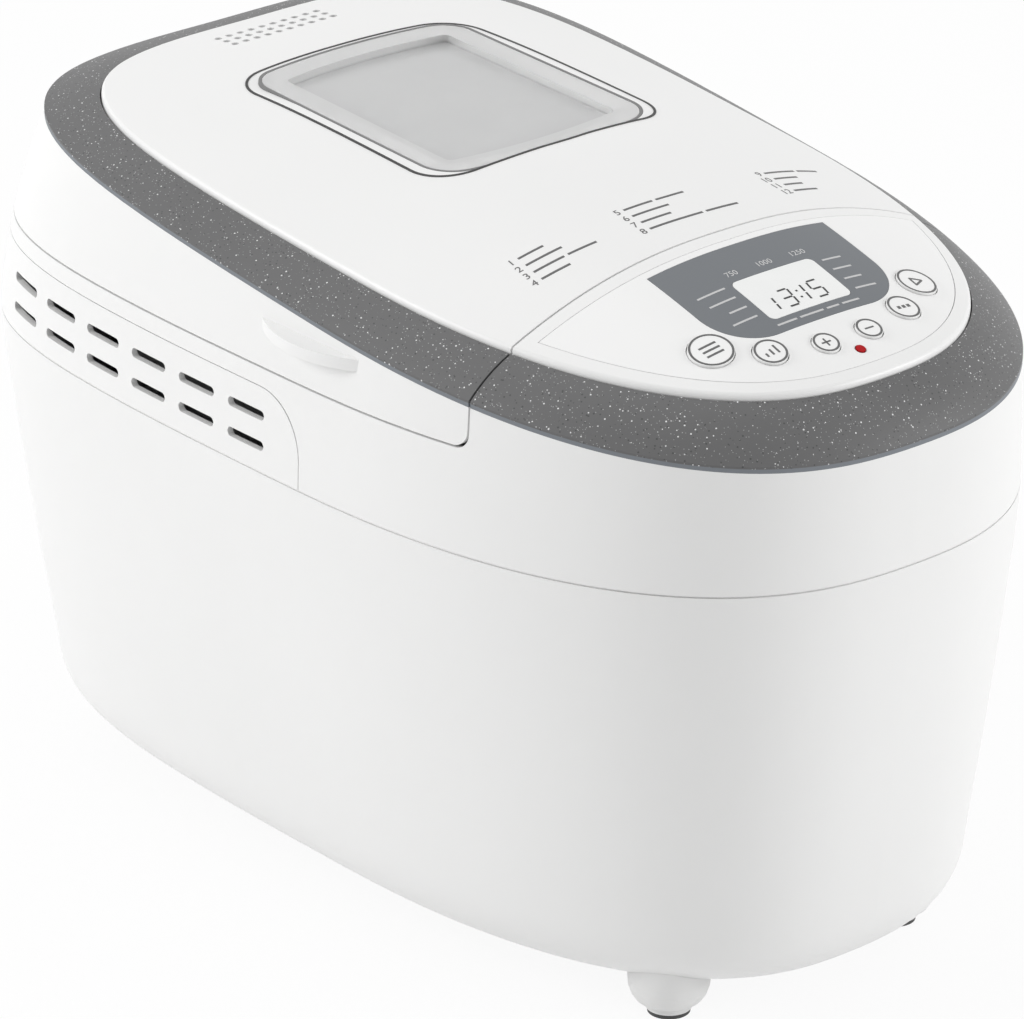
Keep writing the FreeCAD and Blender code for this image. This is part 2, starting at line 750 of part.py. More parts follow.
def lid_band():
    return BAND.common(LID_SIDE)


def lid_cover():
    front = LID_FRONT + LID_GAP / 2.0
    frame = window_block(WINDOW_FRAME, -WINDOW_PANE - WALL, FAR)
    hollow = top_solid(WALL, WALL).common(behind(front + WALL)).cut(frame)
    cover = TOP.common(LID_SIDE).cut(hollow)
    cover = cover.cut(window_block(WINDOW_LAND, 0.0, FAR))
    cover = cover.cut(window_block(0.0, -WINDOW_PANE, FAR))
    cover = cover.cut(window_block(-WINDOW_SEAT, -FAR, FAR))
    rear = TOP_REAR - STEAM_SETBACK
    holes = []
    for row in range(STEAM_ROWS):
        for place in range(STEAM_COLUMNS):
            x = (place - (STEAM_COLUMNS - 1) / 2.0) * STEAM_PITCH
            holes.append(disc(STEAM_HOLE, RIM_Z, RIM_Z + FAR, x, rear + row * STEAM_PITCH))
    return cover.cut(holes)


def window_outline(grow):
    """The window's outline in its own plane: bowed ends and round corners."""
    front, rear = WINDOW_FRONT_WIDTH / 2.0, WINDOW_REAR_WIDTH / 2.0
    y0, y1 = WINDOW_FRONT, WINDOW_REAR
    edges = [
        Part.Arc(Vector(-front, y0, 0), Vector(0, y0 - WINDOW_BOW, 0), Vector(front, y0, 0)),
        Part.LineSegment(Vector(front, y0, 0), Vector(rear, y1, 0)),
        Part.Arc(Vector(rear, y1, 0), Vector(0, y1 + WINDOW_BOW, 0), Vector(-rear, y1, 0)),
        Part.LineSegment(Vector(-rear, y1, 0), Vector(-front, y0, 0)),
    ]
    sharp = Part.Wire([edge.toShape() for edge in edges])
    return sharp.makeOffset2D(-WINDOW_ROUND).makeOffset2D(WINDOW_ROUND + grow)


def window_block(grow, low, high):
    """A solid over the window's outline, square to its sloping plane."""
    block = Part.Face(window_outline(grow)).extrude(Vector(0, 0, high - low))
    block.translate(Vector(0, 0, low))
    block.rotate(Vector(0, 0, 0), Vector(1, 0, 0), math.degrees(math.atan(WINDOW_SLOPE)))
    block.translate(Vector(0, 0, WINDOW_Z))
    return block


def window_seal():
    seal = window_block(-WINDOW_FIT, -WINDOW_PANE, WINDOW_FIT)
    return seal.cut(window_block(-WINDOW_SEAL, -FAR, FAR))


def lid_window():
    """A clear pane whose middle is dished a little below its rim."""
    rim = window_block(-WINDOW_SEAL - WINDOW_FIT, -WINDOW_PANE, 0.0)
    dish = window_block(-WINDOW_SEAT - WINDOW_FIT, -WINDOW_DISH - WINDOW_PANE, 0.0)
    hollow = window_block(-WINDOW_SEAT - WINDOW_FIT - WINDOW_PANE, -WINDOW_DISH, FAR)
    return fused([rim, dish]).cut(hollow)


def hinge_notch():
    """The room that the housing's hinge ears take out of the lid."""
    span = hinge_span() + HINGE_PLAY
    top = HINGE_Z + HINGE_BARREL + HINGE_PLAY
    y = HINGE_Y - HINGE_BARREL - 2.0 * HINGE_PLAY
    return [
        slab(side * HINGE_X - span, side * HINGE_X + span, y, FAR, -FAR, top) for side in (-1.0, 1.0)
    ]


def hinge_knuckles():
    knuckles = []
    half = HINGE_KNUCKLE / 2.0
    for side in (-1.0, 1.0):
        x0, x1 = side * HINGE_X - half, side * HINGE_X + half
        y = HINGE_Y - HINGE_BARREL
        arm = slab(x0, x1, y, y + HINGE_ARM_SHEET, HINGE_Z, HINGE_Z + HINGE_ARM)
        knuckle = arm.fuse(cross_rod(HINGE_BARREL, x0, x1))
        knuckles.append(knuckle.cut(cross_rod(HINGE_PIN + RUNNING_FIT, x0, x1)))
    return knuckles


def lift_tabs():
    """A crescent fin on each side of the lid, to lift it by."""
    y = LID_FRONT + TAB_SETBACK
    z = LID_Z + TAB_RISE
    radius = ((TAB_LENGTH / 2.0) ** 2 + TAB_REACH ** 2) / (2.0 * TAB_REACH)
    line = Part.makeLine(Vector(0, y, z), Vector(FAR, y, z))
    reach = UPPER.common(line).BoundBox.XMax + TAB_REACH
    fins = []
    for side in (-1.0, 1.0):
        fin = disc(radius, z, z + TAB_THICKNESS, side * (reach - radius), y)
        fins.append(fin.cut(UPPER_CORE).common(slab(
            min(0.0, side * FAR), max(0.0, side * FAR), -FAR, FAR, -FAR, FAR,
        )))
    return fins


def lid_skirt():
    gap = LID_GAP / 2.0
    front = LID_FRONT + gap
    zone = lid_zone(gap)
    wall = UPPER_SHELL.common(zone)
    face = UPPER_CORE.common(slab(-FAR, FAR, front, front + WALL, -FAR, FAR)).common(zone)
    well = top_column(LEDGE).common(behind(front + LEDGE))
    ledge = UPPER_CORE.common(rim_slab(WALL)).common(LID_SIDE).cut(well)
    core = upper_solid(WALL + LINER_SEAT).common(behind(front + WALL + LINER_SEAT))
    rib = UPPER_CORE.common(slab(-FAR, FAR, front, FAR, LINER_Z - WALL, LINER_Z)).common(zone).cut(core)
    skirt = fused([wall, face, ledge, rib] + lift_tabs())
    return fused([skirt.cut(hinge_notch())] + hinge_knuckles())


def lid_liner():
    """A pressed sheet that closes the underside of the lid, dished up over the pan."""
    front = LID_FRONT + LID_GAP / 2.0
    low, high = LINER_Z, LINER_Z + LINER_RISE
    flange = upper_solid(WALL + LINER_GAP).common(
        slab(-FAR, FAR, front + WALL + LINER_GAP, FAR, low, low + LINER_SHEET))
    tray_front = front + LEDGE + LINER_DRAFT

    def tray(sheet):
        wires = [
            oval(TOP_HALF_WIDTH, TOP_FRONT, TOP_REAR, low, 0.0, LEDGE + LINER_DRAFT + sheet),
            oval(TOP_HALF_WIDTH, TOP_FRONT, TOP_REAR, high - sheet, 0.0, LEDGE + 2.0 * LINER_DRAFT + sheet),
        ]
        return loft(wires, True).common(behind(tray_front + sheet))

    sheet = fused([flange, tray(0.0)]).cut(tray(LINER_SHEET))
    return sheet.cut(window_block(-WINDOW_SEAT - WINDOW_PANE, -FAR, FAR)).cut(hinge_notch())


def panel_tilt():
    """Slope of the control panel along its middle, in degrees."""
    rear, front = LID_FRONT - FASCIA_MARGIN, TOP_FRONT + BUTTON_INSET
    return math.degrees(math.atan2(top_z(0, rear) - top_z(0, front), rear - front))


PANEL_TILT = panel_tilt()
PANEL_OUT = Rotation(Vector(1, 0, 0), PANEL_TILT).multVec(Vector(0, 0, 1))
PANEL_MIDDLE_Y = (LID_FRONT + TOP_FRONT) / 2.0
PANEL_MIDDLE = Vector(0, PANEL_MIDDLE_Y, top_z(0, PANEL_MIDDLE_Y))


def on_panel(shape, place):
    """A shape drawn about its own origin, set square to the panel at a place."""
    copy = shape.copy()
    copy.Placement = FreeCAD.Placement(place, Rotation(Vector(1, 0, 0), PANEL_TILT))
    return copy


def board_depth(place):
    """Distance from a place on the panel straight down to the control board."""
    return PANEL_OUT.dot(place - PANEL_MIDDLE) + BOARD_DEPTH


def button_place(x):
    """The buttons stand in an arc that follows the panel's front edge."""
    half_width = TOP_HALF_WIDTH - BUTTON_INSET
    half_length = (TOP_REAR - TOP_FRONT) / 2.0 - BUTTON_INSET
    share = (1.0 - (abs(x) / half_width) ** FRONT_FULLNESS) ** (1.0 / FRONT_FULLNESS)
    y = (TOP_FRONT + TOP_REAR) / 2.0 - half_length * share
    return Vector(x, y, top_z(x, y))


LED_PLACE = Vector(0, TOP_FRONT + LED_INSET, top_z(0, TOP_FRONT + LED_INSET))


def panel_holes(extra):
    """Round holes square to the panel for the buttons and the lamp."""
    places = [(button_place(x), radius) for name, x, radius in BUTTON_PLACES]
    places.append((LED_PLACE, LED_RADIUS))
    return [on_panel(disc(radius + extra, -BODY_WIDTH, BODY_WIDTH), place) for place, radius in places]


def fascia_column(shrink):
    inset = FASCIA_MARGIN + shrink
    return top_column(inset).common(before(LID_FRONT - LID_GAP / 2.0 - inset))


def inlay_column(shrink):
    """The dark inlay's outline: square at the lid, with broad round corners towards the buttons."""
    rear = LID_FRONT - INLAY_SETBACK
    outline = rounded_box(
        INLAY_WIDTH / 2.0 - shrink, rear - INLAY_LENGTH + shrink, rear + INLAY_ROUND, INLAY_ROUND - shrink, RIM_Z)
    return column(outline).common(before(rear - shrink))


def display_column(shrink):
    rear = LID_FRONT - DISPLAY_SETBACK
    return column(rounded_box(
        DISPLAY_WIDTH / 2.0 - shrink, rear - DISPLAY_LENGTH + shrink, rear - shrink, DISPLAY_ROUND, RIM_Z,
    ))


def skin(region, sheet):
    """The outermost sheet of the crowned top, within an upright region."""
    return TOP.common(region).cut(moved(TOP, z=-sheet))


def recess(region, sheet):
    """What a skin is let into: the same region from the skin's underside upward."""
    return region.cut(moved(TOP, z=-sheet))


def board_post_places():
    rear = LID_FRONT - LID_GAP / 2.0 - BOARD_MARGIN - BOARD_POST_GAP
    return [Vector(side * BOARD_POST_X, rear, top_z(side * BOARD_POST_X, rear)) for side in (-1.0, 1.0)]


def control_deck():
    rear = LID_FRONT - LID_GAP / 2.0
    posts = [on_panel(disc(BOARD_POST, -board_depth(place), 0.0), place) for place in board_post_places()]
    hollow = top_solid(WALL, WALL).common(before(rear - WALL)).cut(posts)
    deck = TOP.common(PANEL_SIDE).cut(hollow).cut(recess(fascia_column(-FASCIA_GAP), FASCIA_SHEET))
    return deck.cut(panel_holes(BUTTON_FIT)).cut(display_column(DISPLAY_SEAT))


def control_fascia():
    fascia = skin(fascia_column(0.0), FASCIA_SHEET)
    fascia = fascia.cut(recess(inlay_column(-INLAY_GAP), INLAY_SHEET))
    return fascia.cut(panel_holes(BUTTON_FIT)).cut(display_column(-INLAY_GAP))


def display_inlay():
    return skin(inlay_column(0.0), INLAY_SHEET).cut(display_column(-INLAY_GAP))


def display_window():
    return skin(display_column(0.0), FASCIA_SHEET)


def display_place():
    y = LID_FRONT - DISPLAY_SETBACK - DISPLAY_LENGTH / 2.0
    return Vector(0, y, top_z(0, y))


def lcd_module():
    place = display_place()
    half_x, half_y = DISPLAY_WIDTH / 2.0 + DISPLAY_SEAT, DISPLAY_LENGTH / 2.0 + DISPLAY_SEAT
    return on_panel(slab(-half_x, half_x, -half_y, half_y, -board_depth(place), -2.0 * WALL), place)


def control_board():
    """The board lies square to the panel, inside the control deck's walls."""
    reach = BODY_WIDTH
    sheet = slab(-reach, reach, -reach, reach, -BOARD_DEPTH - BOARD_SHEET, -BOARD_DEPTH)
    sheet = on_panel(sheet, PANEL_MIDDLE)
    return sheet.common(top_column(BOARD_MARGIN)).common(before(LID_FRONT - LID_GAP / 2.0 - BOARD_MARGIN))


def tact_switches():
    half = SWITCH_SIZE / 2.0
    switches = []
    for name, x, radius in BUTTON_PLACES:
        place = button_place(x)
        depth = board_depth(place)
        switches.append(on_panel(slab(-half, half, -half, half, -depth, SWITCH_HEIGHT - depth), place))
    return Part.Compound(switches)


def button(x, radius):
    """A round key with a stop flange under the deck and a stem that reaches its switch."""
    place = button_place(x)
    stem = board_depth(place) - SWITCH_HEIGHT - BUTTON_TRAVEL - BUTTON_CLEARANCE
    cap = on_panel(disc(radius, -BUTTON_SINK, 2.0 * BUTTON_SINK), place).common(moved(TOP, z=BUTTON_PROUD))
    flange = disc(radius + BUTTON_FLANGE, -BUTTON_SINK - BUTTON_FLANGE_SHEET, -BUTTON_SINK)
    shank = disc(BUTTON_STEM, -stem, -BUTTON_SINK)
    return fused([cap, on_panel(flange, place), on_panel(shank, place)])


def led_lens():
    depth = board_depth(LED_PLACE)
    lens = on_panel(disc(LED_RADIUS, -depth, LED_RADIUS), LED_PLACE)
    return lens.common(moved(TOP, z=BUTTON_FIT))


def chamber_outline(inset, z):
    return rounded_box(
        CHAMBER_HALF_WIDTH - inset, CHAMBER_FRONT + inset, CHAMBER_REAR - inset, CHAMBER_ROUND - inset, z)


def along_rod(radius, x, z, y0, y1):
    return Part.makeCylinder(radius, y1 - y0, Vector(x, y0, z), Vector(0, 1, 0))


def baking_chamber():
    box = upright(chamber_outline(0.0, 0.0), CHAMBER_FLOOR_Z, DECK_Z)
    flange = upright(chamber_outline(-CHAMBER_FLANGE, 0.0), DECK_Z, CHAMBER_TOP_Z)
    body = fused([box, flange]).cut(upright(chamber_outline(CHAMBER_SHEET, 0.0), CHAMBER_IN_Z, FAR))
    body = body.cut(disc(BEARING_RADIUS + CHAMBER_FIT, 0.0, CHAMBER_IN_Z, 0.0, DRIVE_Y))
    front = CHAMBER_FRONT - CHAMBER_SHEET
    for x in (-ELEMENT_TERMINAL_X, ELEMENT_TERMINAL_X):
        body = body.cut(along_rod(CERAMIC_RADIUS, x, ELEMENT_Z, front, front + 4.0 * CHAMBER_SHEET))
    return body.cut(along_rod(PROBE_RADIUS, PROBE_X, PROBE_Z, front, front + 4.0 * CHAMBER_SHEET))


def element_front():
    return CHAMBER_FRONT + (PAN_END_GAP + PAN_DRAFT) / 2.0


def heating_element():
    """A sheathed rod round the foot of the pan, with both ends through the front wall."""
    tail, front = CHAMBER_FRONT - ELEMENT_TAIL, element_front()
    rear = 2.0 * DRIVE_Y - front
    half = (CHAMBER_HALF_WIDTH + PAN_HALF_WIDTH) / 2.0
    x = ELEMENT_TERMINAL_X
    plan = [(-x, tail), (-x, front), (-half, front), (-half, rear)]
    plan += [(-px, py) for px, py in plan[::-1]]
    points = [Vector(px, py, ELEMENT_Z) for px, py in plan]
    bends = [ELEMENT_TERMINAL_BEND] + [ELEMENT_BEND] * 4 + [ELEMENT_TERMINAL_BEND]
    return bent_rod(points, bends, ELEMENT_RADIUS)


def element_bushes():
    bushes = []
    middle = CHAMBER_FRONT + CHAMBER_SHEET / 2.0
    for x in (-ELEMENT_TERMINAL_X, ELEMENT_TERMINAL_X):
        y0, y1 = middle - CERAMIC_LENGTH / 2.0, middle + CERAMIC_LENGTH / 2.0
        body = along_rod(CERAMIC_RADIUS, x, ELEMENT_Z, y0, y1)
        bushes.append(body.cut(along_rod(ELEMENT_RADIUS, x, ELEMENT_Z, y0, y1)))
    return Part.Compound(bushes)


def temperature_probe():
    wall = CHAMBER_FRONT
    tip = along_rod(PROBE_RADIUS, PROBE_X, PROBE_Z, wall, wall + CHAMBER_SHEET + PROBE_REACH)
    head = along_rod(PROBE_HEAD, PROBE_X, PROBE_Z, wall - PROBE_HEAD_LENGTH, wall)
    return fused([tip, head])


def pan_outline(inset, z):
    return rounded_box(
        PAN_HALF_WIDTH - inset, PAN_FRONT + inset, PAN_REAR - inset, PAN_ROUND - min(inset, PAN_DRAFT), z)


def pan_solid(sheet):
    toe = PAN_DRAFT + PAN_DRAFT / 2.0
    low = PAN_BASE_Z + sheet
    wires = [
        pan_outline(toe + sheet, low),
        pan_outline(PAN_DRAFT + sheet, low + PAN_DRAFT),
        pan_outline(sheet, PAN_RIM_Z),
    ]
    return loft(wires, True)


def ear_places():
    """The two ends of the pan's rim, where the bail's ears stand."""
    return [(-1.0, PAN_FRONT - PAN_RIM / 2.0), (1.0, PAN_REAR + PAN_RIM / 2.0)]


def bread_pan():
    rim = upright(pan_outline(-PAN_RIM, 0.0), PAN_RIM_Z - PAN_SHEET, PAN_RIM_Z)
    pan = fused([pan_solid(0.0), rim]).cut(pan_solid(PAN_SHEET))
    pan = pan.cut(disc(BUSH_RADIUS, 0.0, PAN_BASE_Z + PAN_SHEET, 0.0, DRIVE_Y))
    ears = []
    for side, y in ear_places():
        half = EAR_WIDTH / 2.0
        plate = slab(-half, half, y - EAR_SHEET / 2.0, y + EAR_SHEET / 2.0, PAN_RIM_Z, PAN_RIM_Z + EAR_HEIGHT)
        hole = along_rod(BAIL_WIRE + RUNNING_FIT, 0.0, BAIL_Z, y - EAR_SHEET, y + EAR_SHEET)
        ears.append(plate.cut(hole))
    return fused([pan] + ears)


def pan_foot():
    def outline(inset):
        return rounded_box(
            PAN_FOOT_WIDTH / 2.0 - inset, DRIVE_Y - PAN_FOOT_LENGTH / 2.0 + inset,
            DRIVE_Y + PAN_FOOT_LENGTH / 2.0 - inset, PAN_FOOT_ROUND - inset, 0.0)
    return upright(outline(0.0), CHAMBER_IN_Z, PAN_BASE_Z).cut(
        upright(outline(PAN_FOOT_WALL), CHAMBER_IN_Z, PAN_BASE_Z))


def pan_clips():
    """Bent sheet clips on the chamber floor that the pan's foot plugs between."""
    clips = []
    for side in (-1.0, 1.0):
        for place in (-0.25, 0.25):
            y = DRIVE_Y + place * PAN_FOOT_LENGTH
            x = side * (PAN_FOOT_WIDTH / 2.0 + CHAMBER_FIT)
            y0, y1 = y - CLIP_LENGTH / 2.0, y + CLIP_LENGTH / 2.0
            z = CHAMBER_IN_Z
            inner, outer = x, x + side * CLIP_SHEET
            toe = x + side * CLIP_HEIGHT
            leaf = slab(min(inner, outer), max(inner, outer), y0, y1, z, z + CLIP_HEIGHT)
            foot = slab(min(inner, toe), max(inner, toe), y0, y1, z, z + CLIP_SHEET)
            clips.append(fused([leaf, foot]))
    return Part.Compound(clips)


def pan_bush():
    low, floor = PAN_BASE_Z - COUPLING_GAP, PAN_BASE_Z + PAN_SHEET
    body = fused([
        disc(BUSH_RADIUS, low, floor + BUSH_HEIGHT, 0.0, DRIVE_Y),
        disc(BUSH_RADIUS + BUSH_FLANGE, floor, floor + BUSH_FLANGE, 0.0, DRIVE_Y),
    ])
    return body.cut(disc(SHAFT_RADIUS + RUNNING_FIT, 0.0, FAR, 0.0, DRIVE_Y))


def pan_handle():
    """A wire bail that swings over the pan from the ears at its two ends."""
    (front_side, front), (rear_side, rear) = ear_places()
    arm_front, arm_rear = front - BAIL_OFFSET, rear + BAIL_OFFSET
    plan = [
        (0.0, front + BAIL_OFFSET / 2.0), (0.0, arm_front), (BAIL_REACH, arm_front),
        (BAIL_REACH, arm_rear), (0.0, arm_rear), (0.0, rear - BAIL_OFFSET / 2.0),
    ]
    points = [Vector(x, y, BAIL_Z) for x, y in plan]
    return bent_rod(points, [BAIL_CRANK, BAIL_BEND, BAIL_BEND, BAIL_CRANK], BAIL_WIRE)


def flat_cut(low, high, grow):
    """The chord taken off the pan shaft, and off the bore that fits it."""
    x = SHAFT_RADIUS - SHAFT_FLAT + grow
    return slab(x, FAR, DRIVE_Y - FAR, DRIVE_Y + FAR, low, high)


def paddle_base():
    return PAN_BASE_Z + PAN_SHEET + BUSH_HEIGHT + COUPLING_GAP


def pan_shaft():
    top = paddle_base() + PADDLE_HEIGHT
    return disc(SHAFT_RADIUS, DOG_Z, top, 0.0, DRIVE_Y).cut(flat_cut(paddle_base(), top, 0.0))


def pan_coupling():
    top = DOG_Z + DOG_HEIGHT
    half_x, half_y = DOG_LENGTH / 2.0, DOG_WIDTH / 2.0
    bar = slab(-half_x, half_x, DRIVE_Y - half_y, DRIVE_Y + half_y, DOG_Z, top)
    hub = disc(DOG_HUB, DOG_Z, top, 0.0, DRIVE_Y)
    return fused([bar, hub]).cut(disc(SHAFT_RADIUS, 0.0, FAR, 0.0, DRIVE_Y))


def kneading_paddle():
    """A hub with one blade that is tall at the hub, low at the tip and rounded along its back."""
    low, high = paddle_base(), paddle_base() + PADDLE_HEIGHT
    hub = turned([
        (0.0, low), (PADDLE_HUB, low), (PADDLE_HUB - PADDLE_BLADE / 2.0, high), (0.0, high),
    ], 0.0, DRIVE_Y)
    tip = low + PADDLE_TIP
    path = [
        Part.LineSegment(Vector(0, 0, low), Vector(PADDLE_REACH, 0, low)),
        Part.LineSegment(Vector(PADDLE_REACH, 0, low), Vector(PADDLE_REACH, 0, tip)),
        Part.Arc(
            Vector(PADDLE_REACH, 0, tip),
            Vector(PADDLE_REACH * 0.62, 0, low + 0.72 * PADDLE_HEIGHT),
            Vector(0, 0, high),
        ),
        Part.LineSegment(Vector(0, 0, high), Vector(0, 0, low)),
    ]
    blade = Part.Face(Part.Wire([edge.toShape() for edge in path])).extrude(Vector(0, PADDLE_BLADE, 0))
    blade.translate(Vector(0, DRIVE_Y - PADDLE_BLADE / 2.0, 0))
    bore = disc(SHAFT_RADIUS + RUNNING_FIT, 0.0, FAR, 0.0, DRIVE_Y).cut(flat_cut(0.0, FAR, RUNNING_FIT))
    return fused([hub, blade]).cut(bore)


def drive_coupling():
    top = COUPLING_Z + COUPLING_DISC
    body = disc(COUPLING_RADIUS, COUPLING_Z, top, 0.0, DRIVE_Y)
    prongs = []
    for across in (-1.0, 1.0):
        for along in (-1.0, 1.0):
            x0, x1 = across * PRONG_INNER, across * (PRONG_INNER + PRONG_LENGTH)
            y0 = along * (DOG_WIDTH / 2.0 + DOG_PLAY)
            y1 = y0 + along * PRONG_WIDTH
            prong = slab(min(x0, x1), max(x0, x1), min(y0, y1), max(y0, y1), COUPLING_Z, DOG_Z + DOG_HEIGHT)
            prongs.append(moved(prong.common(disc(COUPLING_RADIUS, 0.0, FAR)), y=DRIVE_Y))
    return fused([body] + prongs).cut(disc(SHAFT_RADIUS, 0.0, FAR, 0.0, DRIVE_Y))


def drive_shaft():
    return disc(SHAFT_RADIUS, PULLEY_BASE_Z, COUPLING_Z + COUPLING_DISC, 0.0, DRIVE_Y)


def drive_bearing():
    body = fused([
        disc(BEARING_RADIUS, CHASSIS_Z, CHAMBER_IN_Z, 0.0, DRIVE_Y),
        disc(BEARING_FLANGE, CHASSIS_TOP_Z, CHASSIS_TOP_Z + BEARING_FLANGE_SHEET, 0.0, DRIVE_Y),
    ])
    return body.cut(disc(SHAFT_RADIUS + RUNNING_FIT, 0.0, FAR, 0.0, DRIVE_Y))


def pulley_profile(radius, bore):
    """Half section of a flat pulley with two cheeks that keep the belt on."""
    low, high = PULLEY_BASE_Z, PULLEY_TOP_Z
    return [
        (bore, low), (radius + PULLEY_FLANGE, low), (radius + PULLEY_FLANGE, low + PULLEY_CHEEK),
        (radius, low + PULLEY_CHEEK), (radius, high - PULLEY_CHEEK),
        (radius + PULLEY_FLANGE, high - PULLEY_CHEEK), (radius + PULLEY_FLANGE, high), (bore, high),
    ]


def drive_pulley():
    wheel = turned(pulley_profile(PULLEY_RADIUS, SHAFT_RADIUS), 0.0, DRIVE_Y)
    web = (PULLEY_WIDTH - PULLEY_CHEEK) / 2.0
    rim = PULLEY_RADIUS - PULLEY_CHEEK * 2.0
    for low, high in ((PULLEY_BASE_Z, PULLEY_BASE_Z + web), (PULLEY_TOP_Z - web, PULLEY_TOP_Z)):
        wheel = wheel.cut(ring(rim, PULLEY_HUB, low, high, 0.0, DRIVE_Y))
    reach = (rim + PULLEY_HUB) / 2.0
    for place in range(SPOKE_COUNT):
        turn = 2.0 * math.pi * place / SPOKE_COUNT
        x, y = reach * math.cos(turn), DRIVE_Y + reach * math.sin(turn)
        wheel = wheel.cut(disc(SPOKE_HOLE, PULLEY_BASE_Z, PULLEY_TOP_Z, x, y))
    return wheel


def belt_outline(offset, z):
    """The loop that an outline offset from both pulleys takes: two tangents and two arcs."""
    near, far = MOTOR_PULLEY_RADIUS + offset, PULLEY_RADIUS + offset
    turn = math.asin((far - near) / (DRIVE_Y - MOTOR_Y))
    x_near, x_far = near * math.cos(turn), far * math.cos(turn)
    y_near, y_far = MOTOR_Y - near * math.sin(turn), DRIVE_Y - far * math.sin(turn)
    edges = [
        Part.LineSegment(Vector(x_near, y_near, z), Vector(x_far, y_far, z)),
        Part.Arc(Vector(x_far, y_far, z), Vector(0, DRIVE_Y + far, z), Vector(-x_far, y_far, z)),
        Part.LineSegment(Vector(-x_far, y_far, z), Vector(-x_near, y_near, z)),
        Part.Arc(Vector(-x_near, y_near, z), Vector(0, MOTOR_Y - near, z), Vector(x_near, y_near, z)),
    ]
    return Part.Wire([edge.toShape() for edge in edges])


def drive_belt():
    low, high = PULLEY_BASE_Z + PULLEY_CHEEK + BELT_PLAY, PULLEY_TOP_Z - PULLEY_CHEEK - BELT_PLAY
    outer = upright(belt_outline(BELT_PLAY + BELT_SHEET, 0.0), low, high)
    return outer.cut(upright(belt_outline(BELT_PLAY, 0.0), low, high))


def chassis_plate():
    plate = upright(
        rounded_box(CHASSIS_HALF_WIDTH, MOTOR_Y - CHASSIS_LEAD, DRIVE_Y + CHASSIS_TAIL, CHASSIS_ROUND, 0.0),
        CHASSIS_Z, CHASSIS_TOP_Z,
    )
    plate = plate.cut(disc(BEARING_RADIUS, CHASSIS_Z, CHASSIS_TOP_Z, 0.0, DRIVE_Y))
    plate = plate.cut(disc(3.0 * MOTOR_SHAFT, CHASSIS_Z, CHASSIS_TOP_Z, 0.0, MOTOR_Y))
    return plate.cut([disc(SCREW_SHANK, CHASSIS_Z, CHASSIS_TOP_Z, x, y) for x, y in post_places()])


def chassis_screws():
    screws = []
    for x, y in post_places():
        head = disc(SCREW_RADIUS, CHASSIS_TOP_Z, CHASSIS_TOP_Z + SCREW_HEAD, x, y)
        shank = disc(SCREW_SHANK, CHASSIS_TOP_Z - SCREW_LENGTH, CHASSIS_TOP_Z, x, y)
        screws.append(fused([head, shank]))
    return Part.Compound(screws)


def motor():
    """A squat motor with a bell at each end, standing on the chassis plate."""
    low, high = CHASSIS_TOP_Z, CHASSIS_TOP_Z + MOTOR_HEIGHT
    bore = MOTOR_SHAFT + RUNNING_FIT
    return turned([
        (bore, low), (MOTOR_BELL, low), (MOTOR_RADIUS, low + MOTOR_BELL_HEIGHT),
        (MOTOR_RADIUS, high - MOTOR_BELL_HEIGHT), (MOTOR_BELL, high), (bore, high),
    ], 0.0, MOTOR_Y)


def motor_shaft():
    return disc(MOTOR_SHAFT, PULLEY_BASE_Z, CHASSIS_TOP_Z + MOTOR_HEIGHT + MOTOR_SHAFT, 0.0, MOTOR_Y)


def motor_pulley():
    return turned(pulley_profile(MOTOR_PULLEY_RADIUS, MOTOR_SHAFT), 0.0, MOTOR_Y)


def power_board():
    """The supply board on edge beside the motor, with its relay and transformer."""
    x, z = POWER_BOARD_X, CHASSIS_TOP_Z
    y0 = MOTOR_Y - CHASSIS_LEAD + POST_INSET * 2.0
    y1 = y0 + POWER_BOARD_LENGTH
    face = x + POWER_BOARD_SHEET
    margin = RELAY_SIZE / 2.0
    board = slab(x, face, y0, y1, z, z + POWER_BOARD_HEIGHT)
    relay = slab(0.0, RELAY_SIZE, 0.0, RELAY_SIZE, 0.0, RELAY_SIZE)
    coil = slab(0.0, RELAY_SIZE, 0.0, RELAY_SIZE, 0.0, RELAY_SIZE + margin)
    return Part.Compound([
        board,
        moved(relay, face, y0 + margin, z + RELAY_SIZE),
        moved(coil, face, y1 - margin - RELAY_SIZE, z + margin),
    ])


def cord_gland():
    """A flanged bush in the rear wall, where the supply lead goes in."""
    line = Part.makeLine(Vector(0, 0, GLAND_Z), Vector(0, FAR, GLAND_Z))
    wall = LOWER.common(line).BoundBox.YMax
    flange = along_rod(GLAND_FLANGE, 0.0, GLAND_Z, wall - WALL, wall + GLAND_FLANGE_SHEET).cut(LOWER)
    body = along_rod(GLAND_RADIUS, 0.0, GLAND_Z, wall - 3.0 * WALL, wall + GLAND_FLANGE_SHEET)
    return fused([flange, body]).cut(along_rod(GLAND_BORE, 0.0, GLAND_Z, 0.0, FAR))


